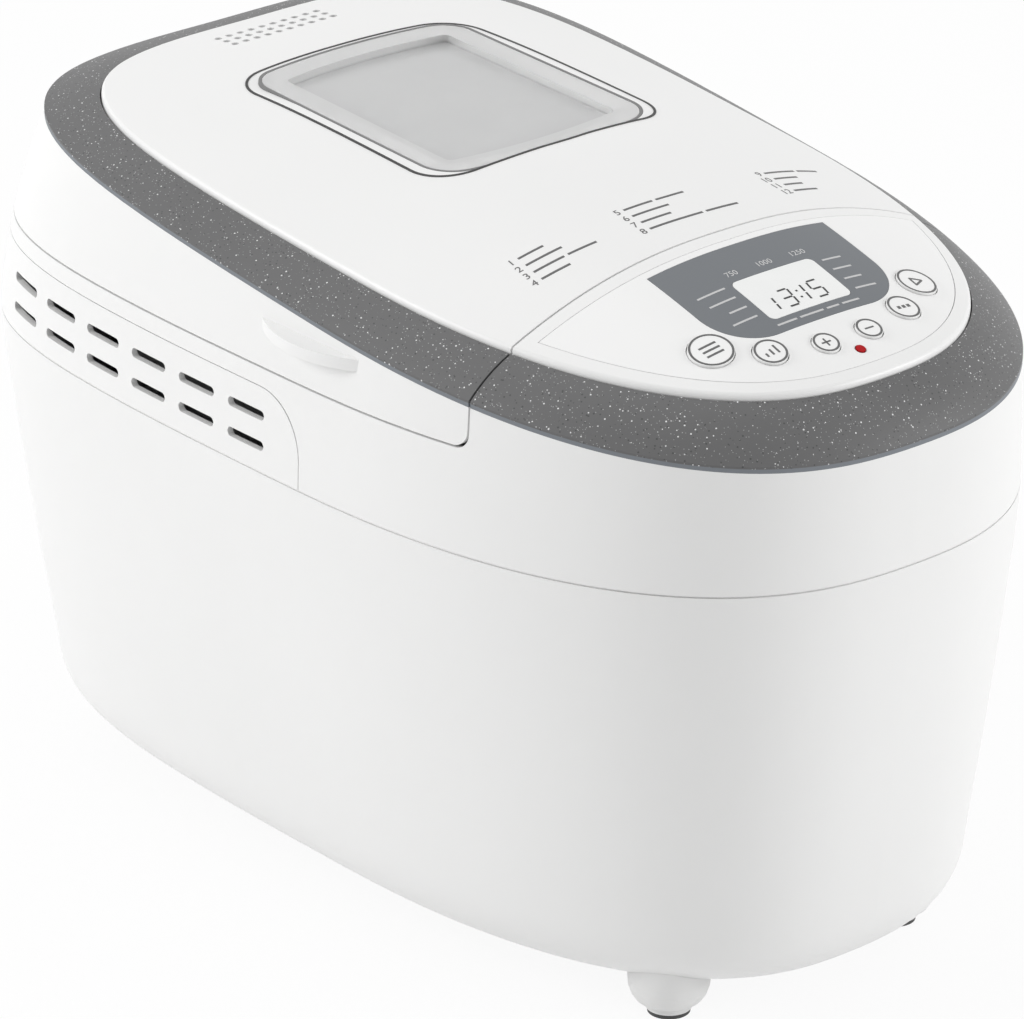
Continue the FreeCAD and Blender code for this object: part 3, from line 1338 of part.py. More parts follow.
def build():
    shapes = {
        "lower_body": lower_body(),
        "upper_housing": upper_housing(),
        "vent_panel": vent_panel(),
        "front_band": front_band(),
        "control_deck": control_deck(),
        "control_fascia": control_fascia(),
        "display_inlay": display_inlay(),
        "display_window": display_window(),
        "lcd_module": lcd_module(),
        "control_board": control_board(),
        "tact_switches": tact_switches(),
        "led_lens": led_lens(),
        "base_plate": base_plate(),
        "baking_chamber": baking_chamber(),
        "heating_element": heating_element(),
        "element_bushes": element_bushes(),
        "temperature_probe": temperature_probe(),
        "pan_clips": pan_clips(),
        "chassis_plate": chassis_plate(),
        "chassis_screws": chassis_screws(),
        "drive_bearing": drive_bearing(),
        "drive_belt": drive_belt(),
        "motor": motor(),
        "power_board": power_board(),
        "cord_gland": cord_gland(),
        "hinge_pins": hinge_pins(),
        "lid_skirt": lid_skirt(),
        "lid_band": lid_band(),
        "lid_cover": lid_cover(),
        "lid_window": lid_window(),
        "window_seal": window_seal(),
        "lid_liner": lid_liner(),
        "drive_shaft": drive_shaft(),
        "drive_pulley": drive_pulley(),
        "drive_coupling": drive_coupling(),
        "motor_shaft": motor_shaft(),
        "motor_pulley": motor_pulley(),
        "bread_pan": bread_pan(),
        "pan_foot": pan_foot(),
        "pan_bush": pan_bush(),
        "pan_handle": pan_handle(),
        "pan_shaft": pan_shaft(),
        "pan_coupling": pan_coupling(),
        "kneading_paddle": kneading_paddle(),
    }
    for name, x, radius in BUTTON_PLACES:
        shapes[name] = button(x, radius)
    corners = ("front_left", "front_right", "rear_left", "rear_right")
    for corner, (x, y) in zip(corners, FOOT_PLACES):
        shapes["foot_" + corner] = foot_cup(x, y)
        shapes["foot_pad_" + corner] = foot_pad(x, y)
    return shapes


os.makedirs("parts", exist_ok=True)
for name, shape in build().items():
    shape.exportStep("parts/" + name + ".step")
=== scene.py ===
"""Looks of the bread machine: finishes for its CAD parts, the printing on its lid, panel and keys, the bead round its
window, the studio and the camera."""
import math

import bmesh
import bpy
from mathutils import Matrix, Vector
from mathutils.bvhtree import BVHTree
from mathutils.geometry import convex_hull_2d


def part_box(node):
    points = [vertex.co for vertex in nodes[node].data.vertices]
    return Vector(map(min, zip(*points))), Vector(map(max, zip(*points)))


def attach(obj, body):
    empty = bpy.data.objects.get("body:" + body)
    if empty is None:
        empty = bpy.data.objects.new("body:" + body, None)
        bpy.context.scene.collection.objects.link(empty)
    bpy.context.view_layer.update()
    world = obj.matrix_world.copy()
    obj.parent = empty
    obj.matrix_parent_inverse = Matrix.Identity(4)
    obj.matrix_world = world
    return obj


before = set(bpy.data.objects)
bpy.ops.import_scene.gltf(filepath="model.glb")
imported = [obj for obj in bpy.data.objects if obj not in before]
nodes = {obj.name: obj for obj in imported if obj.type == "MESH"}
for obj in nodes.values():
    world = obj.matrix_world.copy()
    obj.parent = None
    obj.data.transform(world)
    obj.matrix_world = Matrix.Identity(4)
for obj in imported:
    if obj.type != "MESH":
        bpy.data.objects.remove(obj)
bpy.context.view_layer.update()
MM = 0.001

# the band's rim: its height at the middle of the body, its rise towards the rear, and the height of its lip
RIM_Z = 249.0 * MM
RIM_SLOPE = 0.108
BAND_LIP = 1.6 * MM
# the window: its height at the middle of the body, its rise towards the rear, and the depth where its floor begins
WINDOW_Z = 279.5 * MM
WINDOW_SLOPE = 0.03
WINDOW_SINK = 2.4 * MM


class Value:
    """An output in a node tree. Arithmetic on it adds Math nodes."""

    def __init__(self, bench, socket):
        self.bench = bench
        self.socket = socket

    def work(self, operation, *terms):
        return self.bench.node("ShaderNodeMath", {"operation": operation}, dict(enumerate(terms)))

    def __add__(self, other):
        return self.work("ADD", self, other)

    def __radd__(self, other):
        return self.work("ADD", other, self)

    def __sub__(self, other):
        return self.work("SUBTRACT", self, other)

    def __mul__(self, other):
        return self.work("MULTIPLY", self, other)

    def __rmul__(self, other):
        return self.work("MULTIPLY", other, self)

    def __lt__(self, other):
        return self.work("LESS_THAN", self, other)

    def __gt__(self, other):
        return self.work("GREATER_THAN", self, other)


class Bench:
    """A node tree, and the one way of adding a node to it."""

    def __init__(self, tree):
        self.tree = tree

    def node(self, kind, settings=None, sockets=None, out=0):
        made = self.tree.nodes.new(kind)
        for key, value in (settings or {}).items():
            setattr(made, key, value)
        for key, value in (sockets or {}).items():
            if isinstance(value, Value):
                self.tree.links.new(value.socket, made.inputs[key])
            else:
                made.inputs[key].default_value = value
        return Value(self, made.outputs[out]) if made.outputs else made


class Finish(Bench):
    """One material, read in the part's own coordinates."""

    def __init__(self, name):
        self.material = bpy.data.materials.new(name)
        self.material.use_nodes = True
        super().__init__(self.material.node_tree)
        self.tree.nodes.clear()
        self.place = self.node("ShaderNodeTexCoord", out="Object")

    def noise(self, scale, detail):
        return self.node("ShaderNodeTexNoise", {}, {"Vector": self.place, "Scale": scale, "Detail": detail})

    def axis(self, name):
        return self.node("ShaderNodeSeparateXYZ", {}, {"Vector": self.place}, name)

    def stretched(self, scale, detail):
        """Noise drawn out by a different scale along each axis, as brushing is."""
        drawn = self.node("ShaderNodeMapping", {}, {"Vector": self.place, "Scale": scale})
        return self.node("ShaderNodeTexNoise", {}, {"Vector": drawn, "Scale": 1.0, "Detail": detail})

    def mix(self, share, low, high):
        """A colour between two, by a share."""
        return self.node("ShaderNodeMix", {"data_type": "RGBA"}, {"Factor": share, 6: low, 7: high}, 2)

    def bump(self, height, distance, strength):
        return self.node(
            "ShaderNodeBump", {}, {"Height": height, "Distance": distance, "Strength": strength}, "Normal")

    def surface(self, sockets):
        shader = self.node("ShaderNodeBsdfPrincipled", {}, sockets)
        self.node("ShaderNodeOutputMaterial", {}, {"Surface": shader})
        return self.material


def shade(grey, tint=(1.0, 1.0, 1.0)):
    """A grey, with a slight tint, as a colour."""
    return (grey * tint[0], grey * tint[1], grey * tint[2], 1.0)


def moulded(name, colour, rough, grain=1400.0, depth=0.02):
    """Moulded plastic: a fine spark-eroded grain, with slow drifts of tone and gloss."""
    finish = Finish(name)
    drift = finish.noise(11.0, 3.0)
    pores = finish.noise(grain, 2.0)
    darker = tuple(0.965 * part for part in colour[:3]) + (1.0,)
    return finish.surface({
        "Base Color": finish.mix(drift, darker, colour),
        "Roughness": rough + 0.10 * (drift - 0.5) + 0.05 * (pores - 0.5),
        "Normal": finish.bump(pores, depth * MM, 0.6),
    })


def speckled_band(name):
    """Grey band plastic with pale and dark flecks, and a cooler line along its lower lip."""
    finish = Finish(name)
    drift = finish.noise(16.0, 3.0)
    cool = (1.0, 1.0, 1.01)
    base = finish.mix(drift, shade(0.118, cool), shade(0.142, cool))

    def flecks(scale, size, share):
        cells = {"Vector": finish.place, "Scale": scale, "Randomness": 1.0}
        away = finish.node("ShaderNodeTexVoronoi", {"feature": "F1"}, cells, "Distance")
        pick = finish.node("ShaderNodeTexVoronoi", {"feature": "F1"}, cells, "Color")
        chance = finish.node("ShaderNodeSeparateColor", {}, {"Color": pick}, "Red")
        return (away < size * (0.4 + 0.6 * chance)) * (chance > 1.0 - share)

    pale = flecks(520.0, 0.17, 0.60)
    tiny = flecks(1000.0, 0.21, 0.60)
    dark = flecks(620.0, 0.24, 0.5)
    colour = finish.mix(dark, base, shade(0.075))
    colour = finish.mix(0.55 * tiny, colour, shade(0.62))
    colour = finish.mix(pale, colour, shade(0.80))
    lip = finish.axis("Z") - RIM_SLOPE * finish.axis("Y") < RIM_Z + BAND_LIP
    colour = finish.mix(lip, colour, shade(0.21, (0.92, 1.0, 1.1)))
    grain = finish.noise(1300.0, 2.0)
    return finish.surface({
        "Base Color": colour,
        "Roughness": 0.46 + 0.12 * (drift - 0.5) - 0.08 * pale,
        "Specular IOR Level": 0.35,
        "Normal": finish.bump(grain, 0.02 * MM, 0.5),
    })


def metal(name, colour, rough, brush=(260.0, 9.0, 260.0), depth=0.015):
    """Drawn or brushed metal, streaked along one axis."""
    finish = Finish(name)
    streak = finish.stretched(brush, 3.0)
    cloud = finish.noise(22.0, 3.0)
    darker = tuple(0.82 * part for part in colour[:3]) + (1.0,)
    return finish.surface({
        "Base Color": finish.mix(streak * 0.6 + cloud * 0.4, darker, colour),
        "Metallic": 1.0,
        "Roughness": rough + 0.16 * (streak - 0.5),
        "Normal": finish.bump(streak, depth * MM, 0.5),
    })


def coated_sheet(name, colour, rough, flake, metallic=0.0):
    """A baked coating on sheet metal, with orange-peel and fine flakes."""
    finish = Finish(name)
    peel = finish.noise(420.0, 2.0)
    flakes = finish.noise(2600.0, 1.0)
    cloud = finish.noise(18.0, 3.0)
    lighter = tuple(min(1.0, part + flake) for part in colour[:3]) + (1.0,)
    return finish.surface({
        "Base Color": finish.mix((flakes > 0.62) * 0.7 + cloud * 0.2, colour, lighter),
        "Metallic": metallic,
        "Roughness": rough + 0.14 * (cloud - 0.5),
        "Normal": finish.bump(peel, 0.05 * MM, 0.4),
    })


def rubber(name, grey):
    finish = Finish(name)
    dust = finish.noise(60.0, 4.0)
    pits = finish.noise(1700.0, 3.0)
    return finish.surface({
        "Base Color": finish.mix(dust, shade(grey), shade(grey * 1.5)),
        "Roughness": 0.72 + 0.15 * (dust - 0.5),
        "Normal": finish.bump(pits, 0.06 * MM, 0.7),
    })


def window_glass(name):
    """The lid's pane: a clear rim round a sunk floor with a grey, frosted cast."""
    finish = Finish(name)
    haze = finish.noise(26.0, 3.0)
    sunk = finish.axis("Z") - WINDOW_SLOPE * finish.axis("Y") < WINDOW_Z - WINDOW_SINK
    cool = (0.995, 1.0, 1.0)
    cast = finish.mix(haze, shade(0.74, cool), shade(0.80, cool))
    return finish.surface({
        "Base Color": finish.mix(sunk, shade(0.86), cast),
        "Roughness": 0.05 + 0.05 * haze + 0.16 * sunk,
        "Transmission Weight": 0.45,
        "IOR": 1.47,
        "Coat Weight": 0.3,
    })


def display_face(name):
    """A pale reflective display under a hard clear cover."""
    finish = Finish(name)
    cloud = finish.noise(70.0, 2.0)
    cells = finish.node(
        "ShaderNodeTexVoronoi", {"feature": "F1"}, {"Vector": finish.place, "Scale": 2400.0}, "Distance")
    green = (1.0, 1.01, 1.0)
    return finish.surface({
        "Base Color": finish.mix(cloud * 0.7 + cells * 0.3, shade(0.82, green), shade(0.90, green)),
        "Roughness": 0.16 + 0.06 * cloud,
        "Coat Weight": 0.5,
    })


def lamp_red(name):
    finish = Finish(name)
    core = finish.noise(900.0, 2.0)
    return finish.surface({
        "Base Color": finish.mix(core, (0.36, 0.0005, 0.003, 1.0), (0.48, 0.001, 0.005, 1.0)),
        "Roughness": 0.30 + 0.05 * core,
        "Specular IOR Level": 0.15,
    })


def printed_ink(name, grey):
    """Pad-printed ink: nearly even, a little thin at its pores."""
    finish = Finish(name)
    pores = finish.noise(2200.0, 3.0)
    return finish.surface({
        "Base Color": finish.mix(pores, shade(grey * 0.9), shade(grey * 1.15)),
        "Roughness": 0.48 + 0.1 * (pores - 0.5),
    })


def circuit_board(name):
    """Green solder mask over faint copper tracks."""
    finish = Finish(name)
    tracks = finish.node(
        "ShaderNodeTexVoronoi", {"feature": "DISTANCE_TO_EDGE", "voronoi_dimensions": "3D"},
        {"Vector": finish.place, "Scale": 190.0}, "Distance")
    line = tracks < 0.06
    fibre = finish.noise(900.0, 2.0)
    mask = finish.mix(fibre, (0.012, 0.085, 0.03, 1.0), (0.02, 0.12, 0.045, 1.0))
    return finish.surface({
        "Base Color": finish.mix(line, mask, (0.06, 0.22, 0.07, 1.0)),
        "Roughness": 0.38 + 0.12 * (fibre - 0.5),
        "Normal": finish.bump(line, 0.03 * MM, 0.6),
    })


finishes = {
    "shell": moulded("satin_white_shell", (0.86, 0.86, 0.855, 1.0), 0.34),
    "panel": moulded("panel_white", (0.885, 0.885, 0.88, 1.0), 0.30, 1900.0, 0.004),
    "key": moulded("key_white", (0.90, 0.90, 0.895, 1.0), 0.32, 2200.0, 0.004),
    "foot": moulded("foot_white", (0.82, 0.82, 0.815, 1.0), 0.42),
    "band": speckled_band("speckled_band"),
    "inlay": moulded("slate_inlay", (0.150, 0.162, 0.176, 1.0), 0.42, 2100.0, 0.015),
    "display": display_face("display_face"),
    "lamp": lamp_red("lamp_red"),
    "glass": window_glass("window_glass"),
    "seal": rubber("window_seal_rubber", 0.16),
    "lip": rubber("window_lip_rubber", 0.035),
    "pad": rubber("foot_pad_rubber", 0.06),
    "belt": rubber("belt_rubber", 0.02),
    "liner": metal("liner_aluminium", (0.72, 0.73, 0.74, 1.0), 0.38, (30.0, 420.0, 420.0)),
    "chamber": coated_sheet("chamber_enamel", (0.30, 0.305, 0.31, 1.0), 0.42, 0.08, 0.3),
    "non_stick": coated_sheet("pan_non_stick", (0.035, 0.035, 0.037, 1.0), 0.38, 0.06),
    "element": metal("element_sheath", (0.26, 0.245, 0.235, 1.0), 0.45, (300.0, 300.0, 300.0)),
    "ceramic": moulded("bush_ceramic", (0.74, 0.70, 0.63, 1.0), 0.6, 800.0, 0.05),
    "steel": metal("bright_steel", (0.66, 0.67, 0.68, 1.0), 0.27),
    "zinc": metal("zinc_plate", (0.55, 0.56, 0.56, 1.0), 0.36, (90.0, 90.0, 90.0)),
    "bronze": metal("bearing_bronze", (0.52, 0.34, 0.15, 1.0), 0.4, (500.0, 500.0, 500.0)),
    "cast": metal("die_cast", (0.48, 0.485, 0.49, 1.0), 0.48, (380.0, 380.0, 380.0), 0.04),
    "motor": coated_sheet("motor_lacquer", (0.06, 0.065, 0.07, 1.0), 0.45, 0.03, 0.4),
    "pulley": moulded("pulley_nylon", (0.045, 0.045, 0.05, 1.0), 0.5, 700.0, 0.05),
    "gland": moulded("gland_grey", (0.085, 0.088, 0.092, 1.0), 0.5, 900.0, 0.05),
    "circuit": circuit_board("circuit_green"),
    "switch": moulded("switch_black", (0.02, 0.02, 0.022, 1.0), 0.45),
    "ink": printed_ink("ink_slate", 0.105),
    "pale_ink": printed_ink("ink_pale", 0.55),
    "segment": printed_ink("display_segment", 0.02),
}

dressed = {
    "shell": ["lower_body", "upper_housing", "vent_panel", "lid_skirt", "lid_cover", "control_deck", "base_plate"],
    "panel": ["control_fascia"],
    "key": ["menu_button", "size_button", "plus_button", "minus_button", "colour_button", "start_button"],
    "foot": ["foot_front_left", "foot_front_right", "foot_rear_left", "foot_rear_right"],
    "pad": ["foot_pad_front_left", "foot_pad_front_right", "foot_pad_rear_left", "foot_pad_rear_right"],
    "band": ["front_band", "lid_band"],
    "inlay": ["display_inlay"],
    "display": ["display_window", "lcd_module"],
    "lamp": ["led_lens"],
    "glass": ["lid_window"],
    "seal": ["window_seal"],
    "belt": ["drive_belt"],
    "liner": ["lid_liner"],
    "chamber": ["baking_chamber"],
    "non_stick": ["bread_pan", "kneading_paddle"],
    "element": ["heating_element"],
    "ceramic": ["element_bushes"],
    "steel": ["pan_handle", "pan_shaft", "drive_shaft", "motor_shaft", "hinge_pins", "temperature_probe"],
    "zinc": ["chassis_plate", "chassis_screws", "pan_clips"],
    "bronze": ["drive_bearing", "pan_bush"],
    "cast": ["pan_foot", "pan_coupling", "drive_coupling"],
    "motor": ["motor"],
    "pulley": ["drive_pulley", "motor_pulley"],
    "gland": ["cord_gland"],
    "circuit": ["control_board", "power_board"],
    "switch": ["tact_switches"],
}
for finish_name, members in dressed.items():
    for member in members:
        mesh = nodes[member].data
        mesh.materials.clear()
        mesh.materials.append(finishes[finish_name])


faces_of = {}


def surface_of(node):
    """A part's faces, ready for rays, made once for each part."""
    if node not in faces_of:
        mesh = nodes[node].data
        faces_of[node] = BVHTree.FromPolygons([v.co for v in mesh.vertices], [p.vertices for p in mesh.polygons])
    return faces_of[node]


def laid_on(mesh, node, lift, tilt=0.0):
    """Moves a flat drawing on to a part's top face, along the normal of a plane tilted about X."""
    tree = surface_of(node)
    up = Vector((0.0, math.cos(tilt), math.sin(tilt)))
    way = Vector((0.0, -math.sin(tilt), math.cos(tilt)))
    for vertex in mesh.vertices:
        base = Vector((vertex.co.x, 0.0, 0.0)) + vertex.co.y * up
        hit = tree.ray_cast(base + way, -way)[0]
        vertex.co = (hit or base) + (vertex.co.z + lift) * way


def piece(name, mesh, body, finish):
    """Adds a mesh as a piece that rides on a body."""
    thing = bpy.data.objects.new(name, mesh)
    bpy.context.scene.collection.objects.link(thing)
    mesh.materials.clear()
    mesh.materials.append(finishes[finish])
    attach(thing, body)


def grown(name, tree, points, settings, marks):
    """Runs a Geometry Nodes tree on a cloud of points and returns the plain mesh that it makes."""
    cloud = bpy.data.meshes.new(name + "_points")
    cloud.from_pydata(points, [], [])
    for mark, values in marks.items():
        layer = cloud.attributes.new(mark, "FLOAT_VECTOR", "POINT")
        layer.data.foreach_set("vector", values)
    holder = bpy.data.objects.new(name + "_holder", cloud)
    bpy.context.scene.collection.objects.link(holder)
    modifier = holder.modifiers.new("grow", "NODES")
    modifier.node_group = tree
    for item in tree.interface.items_tree:
        if item.in_out == "INPUT" and item.name in settings:
            modifier[item.identifier] = settings[item.name]
    bpy.context.view_layer.update()
    made = bpy.data.meshes.new_from_object(holder.evaluated_get(bpy.context.evaluated_depsgraph_get()))
    holder.modifiers.remove(modifier)
    bpy.data.objects.remove(holder)
    made.name = name
    return made


def instancing(name, inputs, shape):
    """A tree that stands a shape on every point, sized and turned by the points' own marks."""
    tree = bpy.data.node_groups.new(name, "GeometryNodeTree")
    tree.interface.new_socket("Geometry", in_out="INPUT", socket_type="NodeSocketGeometry")
    for label, kind in inputs:
        tree.interface.new_socket(label, in_out="INPUT", socket_type=kind)
    tree.interface.new_socket("Geometry", in_out="OUTPUT", socket_type="NodeSocketGeometry")
    bench = Bench(tree)
    entry = tree.nodes.new("NodeGroupInput")
    given = {socket.name: Value(bench, socket) for socket in entry.outputs if socket.name}
    size = bench.node("GeometryNodeInputNamedAttribute", {"data_type": "FLOAT_VECTOR"}, {"Name": "size"})
    turn = bench.node("GeometryNodeInputNamedAttribute", {"data_type": "FLOAT_VECTOR"}, {"Name": "turn"})
    spread = bench.node("GeometryNodeInstanceOnPoints", {}, {
        "Points": given["Geometry"],
        "Instance": shape(bench, given),
        "Rotation": turn,
        "Scale": size,
    })
    solid = bench.node("GeometryNodeRealizeInstances", {}, {"Geometry": spread})
    inked = bench.node("GeometryNodeSetMaterial", {}, {"Geometry": solid, "Material": given["Finish"]})
    bench.node("NodeGroupOutput", {}, {"Geometry": inked})
    return tree


def bar_shape(bench, given):
    """A unit bar from its left end, cut into short spans so that it can follow a curved face."""
    block = bench.node("GeometryNodeMeshCube", {}, {
        "Size": (1.0, 1.0, 1.0), "Vertices X": given["Spans"], "Vertices Y": 2, "Vertices Z": 2})
    return bench.node("GeometryNodeTransform", {}, {"Geometry": block, "Translation": (0.5, 0.0, 0.0)})


def ring_shape(bench, given):
    """A flat ring of unit radius, with a band of the given width outside it."""
    path = bench.node("GeometryNodeCurvePrimitiveCircle", {}, {
        "Resolution": 72, "Radius": 1.0 + 0.5 * given["Width"]})
    section = bench.node("GeometryNodeCurvePrimitiveQuadrilateral", {}, {
        "Width": given["Width"], "Height": given["Thickness"]})
    return bench.node("GeometryNodeCurveToMesh", {}, {"Curve": path, "Profile Curve": section})


bars = instancing("bars_on_points", [("Finish", "NodeSocketMaterial"), ("Spans", "NodeSocketInt")], bar_shape)
rings = instancing("rings_on_points", [
    ("Finish", "NodeSocketMaterial"), ("Width", "NodeSocketFloat"), ("Thickness", "NodeSocketFloat")], ring_shape)

# thickness of the printing, and how far its middle stands off the face
INK = 0.10 * MM
PRINT_LIFT = 0.2 * INK


def bar_print(name, rows, node, body, finish, spans, tilt=0.0):
    """Prints bars on a part's top face. Each row is (left x, y, length, width, turn in degrees), in millimetres."""
    points = [(x * MM, y * MM, 0.0) for x, y, length, width, turn in rows]
    sizes = [part for row in rows for part in (row[2] * MM, row[3] * MM, INK)]
    turns = [part for row in rows for part in (0.0, 0.0, math.radians(row[4]))]
    mesh = grown(name, bars, points, {"Finish": finishes[finish], "Spans": spans}, {"size": sizes, "turn": turns})
    laid_on(mesh, node, PRINT_LIFT, tilt)
    piece(name, mesh, body, finish)


# keys: the middle of each cap on the panel, and its radius
KEYS = {
    "menu_button": (-48.0, -156.44, 257.0, 8.2), "size_button": (-31.0, -168.02, 255.6, 6.3),
    "plus_button": (-10.0, -173.17, 254.94, 5.1), "minus_button": (10.0, -173.17, 254.94, 5.1),
    "colour_button": (31.0, -168.02, 255.6, 6.3), "start_button": (48.0, -156.44, 257.0, 7.6),
}
PANEL_TILT = math.radians(15.7)


def on_panel(x, y, z):
    """A point of the tilted panel as a place on its drawing."""
    return x, y * math.cos(PANEL_TILT) + z * math.sin(PANEL_TILT)


# key rings: how far the inner edge lies inside the cap's, and the ring's width
RING_INSET = 1.05
RING_WIDTH = 0.8


def key_ring(key):
    """A thin ring printed just inside the edge of a key's cap."""
    x, y, z, radius = KEYS[key]
    u, v = on_panel(x, y, z)
    inner = radius - RING_INSET
    name = key.replace("_button", "_ring")
    mesh = grown(
        name, rings, [(u * MM, v * MM, 0.0)],
        {"Finish": finishes["ink"], "Width": RING_WIDTH / inner, "Thickness": INK / (inner * MM)},
        {"size": [inner * MM] * 3, "turn": [0.0] * 3},
    )
    laid_on(mesh, key, PRINT_LIFT, PANEL_TILT)
    piece(name, mesh, key.replace("_button", "_key"), "ink")


for key in KEYS:
    key_ring(key)


def key_marks(key, rows):
    """Icon strokes on a key, given from its middle."""
    u, v = on_panel(*KEYS[key][:3])
    name = key.replace("_button", "_mark")
    bar_print(name, [(u + du, v + dv, length, width, turn) for du, dv, length, width, turn in rows],
              key, key.replace("_button", "_key"), "ink", 3, PANEL_TILT)


key_marks("plus_button", [(-2.0, 0.0, 4.0, 0.7, 0.0), (0.0, -2.0, 4.0, 0.7, 90.0)])
key_marks("minus_button", [(-2.0, 0.0, 4.0, 0.7, 0.0)])
key_marks("menu_button", [(-3.6, 2.4, 7.2, 0.9, 0.0), (-3.6, 0.0, 7.2, 0.9, 0.0), (-3.6, -2.4, 7.2, 0.9, 0.0)])
key_marks("size_button", [
    (-2.4, -2.0, 1.8, 0.8, 90.0), (0.0, -2.0, 3.0, 0.8, 90.0), (2.4, -2.0, 4.2, 0.8, 90.0)])
key_marks("colour_button", [(-2.9, 0.0, 1.4, 1.5, 0.0), (-0.7, 0.0, 1.4, 1.5, 0.0), (1.5, 0.0, 1.4, 1.5, 0.0)])
key_marks("start_button", [
    (-2.0, -2.3, 4.6, 0.8, 90.0), (-2.1, 2.1, 5.0, 0.8, -25.0), (-2.1, -2.1, 5.0, 0.8, 25.0)])


# height of a numeral as a share of the type size
CAP_SHARE = 0.69


def number_print(name, marks, node, body, finish):
    """Prints plain numbers on a part's top face. Each mark is (number, right end x, base y, height, turn)."""
    sheet = bmesh.new()
    for number, x, y, height, turn in marks:
        curve = bpy.data.curves.new("numeral", "FONT")
        curve.body = number
        curve.align_x = "RIGHT"
        curve.size = height / CAP_SHARE * MM
        curve.extrude = 0.5 * INK
        curve.resolution_u = 3
        holder = bpy.data.objects.new("numeral", curve)
        drawn = bpy.data.meshes.new_from_object(holder)
        bpy.data.objects.remove(holder)
        drawn.transform(Matrix.Translation((x * MM, y * MM, 0.0)) @ Matrix.Rotation(math.radians(turn), 4, "Z"))
        sheet.from_mesh(drawn)
        bpy.data.meshes.remove(drawn)
    bmesh.ops.remove_doubles(sheet, verts=sheet.verts, dist=0.01 * INK)
    bmesh.ops.recalc_face_normals(sheet, faces=sheet.faces)
    mesh = bpy.data.meshes.new(name)
    sheet.to_mesh(mesh)
    sheet.free()
    laid_on(mesh, node, PRINT_LIFT)
    piece(name, mesh, body, finish)


# lid lists: twelve numbered lines in three blocks, with plain bars for their entries.
# Each block is (left x, first y, turn in degrees, lengths of each entry's bars).
LIST_PITCH = 4.9
LIST_CAP = 3.2
LIST_BAR = 1.05
NUMBER_GAP = 1.8
WORD_GAP = 1.6
LISTS = (
    (-65.8, -76.4, -6.0, ((10.5,), (15.0,), (12.8, 12.0), (12.0,))),
    (-20.0, -79.6, -1.5, ((13.0, 12.6), (16.5,), (13.5,), (24.0, 14.5))),
    (47.5, -78.6, 5.0, ((15.5, 10.5), (12.0,), (9.5,), (12.0,))),
)


def list_lines():
    """The numbers of the lists, and the bars of their entries."""
    numbers, lines = [], []
    for left, top, turn, entries in LISTS:
        along = Vector((math.cos(math.radians(turn)), math.sin(math.radians(turn))))
        down = Vector((along.y, -along.x))
        for row, lengths in enumerate(entries):
            start = Vector((left, top)) + row * LIST_PITCH * down
            number = start - NUMBER_GAP * along
            numbers.append((str(len(numbers) + 1), number.x, number.y, LIST_CAP, turn))
            middle = start - 0.5 * LIST_CAP * down
            for length in lengths:
                lines.append((middle.x, middle.y, length, LIST_BAR, turn))
                middle = middle + (length + WORD_GAP) * along
    return numbers, lines


list_numbers, list_bars = list_lines()
number_print("list_numbers", list_numbers, "lid_cover", "lid", "ink")
bar_print("list_bars", list_bars, "lid_cover", "lid", "ink", 8)

# window lip: a thin dark bead round the edge of the window's recess
LIP_GAP = 3.85 * MM
LIP_WIDTH = 1.0 * MM
LIP_HEIGHT = 0.3 * MM
LIP_STEP = 2.5 * MM
LIP_SINK = 0.2 * LIP_HEIGHT


def outline_of(node, step):
    """A part's convex outline from above, in short steps."""
    flat = [vertex.co.to_2d() for vertex in nodes[node].data.vertices]
    corners = [flat[index] for index in convex_hull_2d(flat)]
    path = []
    for start, end in zip(corners, corners[1:] + corners[:1]):
        count = max(1, round((end - start).length / step))
        path += [start.lerp(end, part / count) for part in range(count)]
    return path


def window_lip():
    """The bead: a flat section carried round the seal's outline, a little outside it."""
    path = outline_of("window_seal", LIP_STEP)
    turns = len(path)
    middle = sum(path, Vector((0.0, 0.0))) / turns
    corners = []
    for index, point in enumerate(path):
        along = (path[(index + 1) % turns] - path[index - 1]).normalized()
        out = Vector((along.y, -along.x))
        if out.dot(point - middle) < 0.0:
            out = -out
        for reach, rise in ((0.0, 0.0), (1.0, 0.0), (1.0, 1.0), (0.0, 1.0)):
            place = point + (LIP_GAP + reach * LIP_WIDTH) * out
            corners.append((place.x, place.y, rise * LIP_HEIGHT))
    faces = [
        (4 * turn + side, 4 * turn + (side + 1) % 4, 4 * after + (side + 1) % 4, 4 * after + side)
        for turn in range(turns) for after in [(turn + 1) % turns] for side in range(4)]
    mesh = bpy.data.meshes.new("window_lip")
    mesh.from_pydata(corners, [], faces)
    sheet = bmesh.new()
    sheet.from_mesh(mesh)
    bmesh.ops.recalc_face_normals(sheet, faces=sheet.faces)
    sheet.to_mesh(mesh)
    sheet.free()
    laid_on(mesh, "lid_cover", -LIP_SINK)
    piece("window_lip", mesh, "lid", "lip")


window_lip()

# legends round the display
pane_low, pane_high = [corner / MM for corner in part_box("display_window")]
pane = (pane_low + pane_high) / 2.0
LEGEND = 0.8
LEGEND_GAP = 3.2
LEGEND_BELOW = 14.2
WEIGHT_ABOVE = 14.4
WEIGHT_CAP = 2.5
stage_rows = [(pane_low.x - LEGEND_GAP - length, pane.y + rise, length, LEGEND, 0.0) for length, rise in (
    (12.6, 10.2), (11.8, 4.6), (7.8, -1.2), (11.0, -6.8))]
stage_rows += [(pane_high.x + LEGEND_GAP, pane.y + rise, length, LEGEND, 0.0) for length, rise in (
    (8.6, 8.4), (8.4, 2.6), (8.0, -3.2), (9.6, -9.0))]
stage_rows += [(pane.x + start, pane.y - LEGEND_BELOW, length, LEGEND, 0.0) for start, length in (
    (-19.0, 8.8), (-8.6, 10.8), (3.8, 5.6), (11.0, 7.8))]
bar_print("inlay_legends", stage_rows, "display_inlay", "base", "pale_ink", 4)
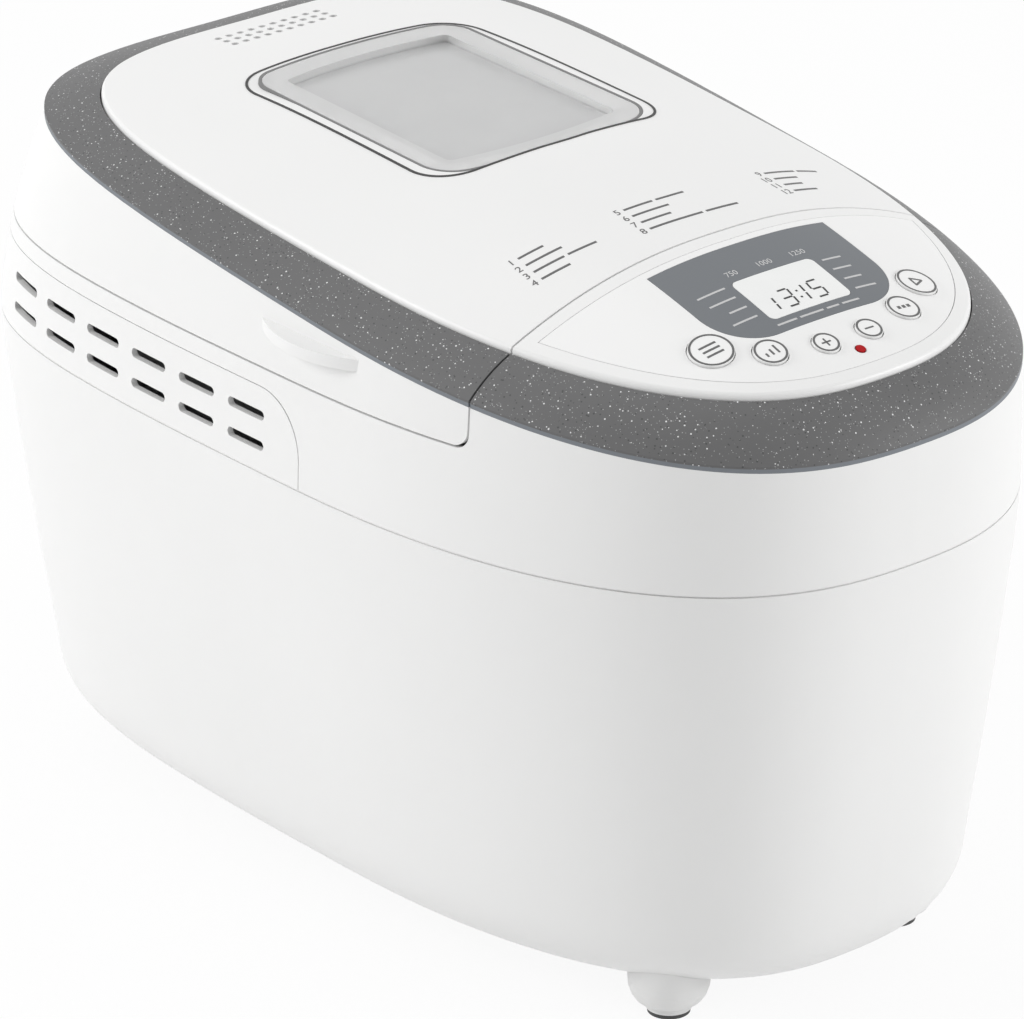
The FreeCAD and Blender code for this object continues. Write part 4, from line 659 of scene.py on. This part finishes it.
number_print("loaf_weights", [
    (number, pane.x + right, pane.y + WEIGHT_ABOVE, WEIGHT_CAP, 0.0) for number, right in (
        ("750", -11.5), ("1000", 4.5), ("1250", 20.0))], "display_inlay", "base", "pale_ink")

# display figures, each from up to seven leaning strokes
FIGURE_WIDE, FIGURE_HIGH, FIGURE_LEAN = 4.6, 8.6, 0.14
FIGURE_BELOW = 8.2
STROKE = 0.75
STROKE_GAP = 0.55 * STROKE
DOT, DOT_LEFT, DOT_RISES = 0.8, 0.9, (2.6, 6.0)
# where each stroke starts, as shares of the width and the height, and whether it lies level
STROKES = {
    "top": (0.0, 1.0, True), "middle": (0.0, 0.5, True), "foot": (0.0, 0.0, True),
    "upper_left": (0.0, 0.5, False), "upper_right": (1.0, 0.5, False),
    "lower_left": (0.0, 0.0, False), "lower_right": (1.0, 0.0, False),
}
FIGURES = {
    "1": ("upper_right", "lower_right"),
    "3": ("top", "middle", "foot", "upper_right", "lower_right"),
    "5": ("top", "middle", "foot", "upper_left", "lower_right"),
}
# what the display shows: each figure, its left end from the middle, and its size
SHOWN = (("1", -15.5, 0.8), ("3", -8.0, 1.0), ("1", -2.2, 1.0), ("5", 5.6, 1.0))


def figure(sign, x, y, size):
    """The strokes of one display figure, with its lower left corner at x, y."""
    rows = []
    for stroke in FIGURES[sign]:
        across, up, level = STROKES[stroke]
        rise = up * FIGURE_HIGH * size
        start = x + across * FIGURE_WIDE * size + FIGURE_LEAN * rise
        if level:
            rows.append((start + STROKE_GAP, y + rise, FIGURE_WIDE * size - 2.0 * STROKE_GAP, STROKE, 0.0))
        else:
            length = 0.5 * FIGURE_HIGH * size - 2.0 * STROKE_GAP
            upright = 90.0 - math.degrees(math.atan(FIGURE_LEAN))
            rows.append((start + FIGURE_LEAN * STROKE_GAP, y + rise + STROKE_GAP, length, STROKE, upright))
    return rows


figure_foot = pane.y - FIGURE_BELOW
figure_rows = [row for sign, left, size in SHOWN for row in figure(sign, pane.x + left, figure_foot, size)]
figure_rows += [
    (pane.x - DOT_LEFT + FIGURE_LEAN * rise, figure_foot + rise, DOT, DOT, 0.0) for rise in DOT_RISES]
bar_print("display_figures", figure_rows, "display_window", "base", "segment", 2)


# studio
scene = bpy.context.scene
scene.view_settings.view_transform = "Standard"

FLOOR_HALF = 6.0
FLOOR_GLOW = 0.92
SKY_LIGHT = 0.57
TARGET = Vector((0.0, 0.0, 140.0 * MM))

floor_mesh = bpy.data.meshes.new("studio_floor")
floor_mesh.from_pydata(
    [(FLOOR_HALF * x, FLOOR_HALF * y, 0.0) for x, y in ((-1, -1), (1, -1), (1, 1), (-1, 1))], [], [(0, 1, 2, 3)])
floor = bpy.data.objects.new("studio_floor", floor_mesh)
scene.collection.objects.link(floor)


def shown_rays(bench):
    """1 for the rays that show a thing itself, and 0 for those that only carry its light."""
    camera_ray, glossy_ray, clear_ray = [bench.node("ShaderNodeLightPath", out=name) for name in (
        "Is Camera Ray", "Is Glossy Ray", "Is Transmission Ray")]
    return camera_ray + glossy_ray + clear_ray


def floor_finish():
    """White floor that looks pure white to the camera and still takes a soft shadow."""
    finish = Finish("floor_white")
    matt = finish.node("ShaderNodeBsdfDiffuse", {}, {"Color": shade(0.90)})
    glow = finish.node("ShaderNodeEmission", {}, {"Color": shade(1.0), "Strength": 1.0})
    mixed = finish.node("ShaderNodeMixShader", {}, {0: FLOOR_GLOW * shown_rays(finish), 1: matt, 2: glow})
    finish.node("ShaderNodeOutputMaterial", {}, {"Surface": mixed})
    return finish.material


floor_mesh.materials.append(floor_finish())

world = bpy.data.worlds.new("studio")
scene.world = world
world.use_nodes = True
sky = Bench(world.node_tree)
sky.tree.nodes.clear()
strength = SKY_LIGHT + (1.0 - SKY_LIGHT) * shown_rays(sky)
air = sky.node("ShaderNodeBackground", {}, {"Color": shade(1.0), "Strength": strength})
sky.node("ShaderNodeOutputWorld", {}, {"Surface": air})


def softbox(name, place, size, power):
    """A rectangular lamp that faces the object."""
    data = bpy.data.lights.new(name, "AREA")
    data.shape = "RECTANGLE"
    data.size, data.size_y = size
    data.energy = power
    lamp = bpy.data.objects.new(name, data)
    lamp.location = place
    lamp.rotation_euler = (TARGET - Vector(place)).to_track_quat("-Z", "Y").to_euler()
    scene.collection.objects.link(lamp)


softbox("softbox_left", (-1.95, 1.5, 1.4), (1.3, 1.2), 33.0)
softbox("softbox_top", (0.0, 0.5, 2.4), (1.8, 1.8), 9.5)
softbox("softbox_right", (1.7, -1.9, 0.9), (1.2, 1.2), 27.0)

# camera, fitted to the photo: its direction, its distance in metres, and its focal length and middle in pixels
PHOTO_WIDE, PHOTO_HIGH = 1024.0, 1019.0
AZIMUTH, ELEVATION, DISTANCE = math.radians(-40.0), math.radians(24.07), 2.499
FOCUS, MIDDLE = 6765.0, (524.3, 484.3)
eye = bpy.data.cameras.new("photo_camera")
eye.sensor_width = 36.0
eye.lens = FOCUS / PHOTO_WIDE * eye.sensor_width
eye.shift_x = (PHOTO_WIDE / 2.0 - MIDDLE[0]) / PHOTO_WIDE
eye.shift_y = (MIDDLE[1] - PHOTO_HIGH / 2.0) / PHOTO_WIDE
eye.clip_end = 50.0
camera = bpy.data.objects.new("photo_camera", eye)
back = Vector((
    math.sin(AZIMUTH) * math.cos(ELEVATION), -math.cos(AZIMUTH) * math.cos(ELEVATION), math.sin(ELEVATION)))
camera.location = TARGET + back * DISTANCE
camera.rotation_euler = (-back).to_track_quat("-Z", "Y").to_euler()
scene.collection.objects.link(camera)
scene.camera = camera
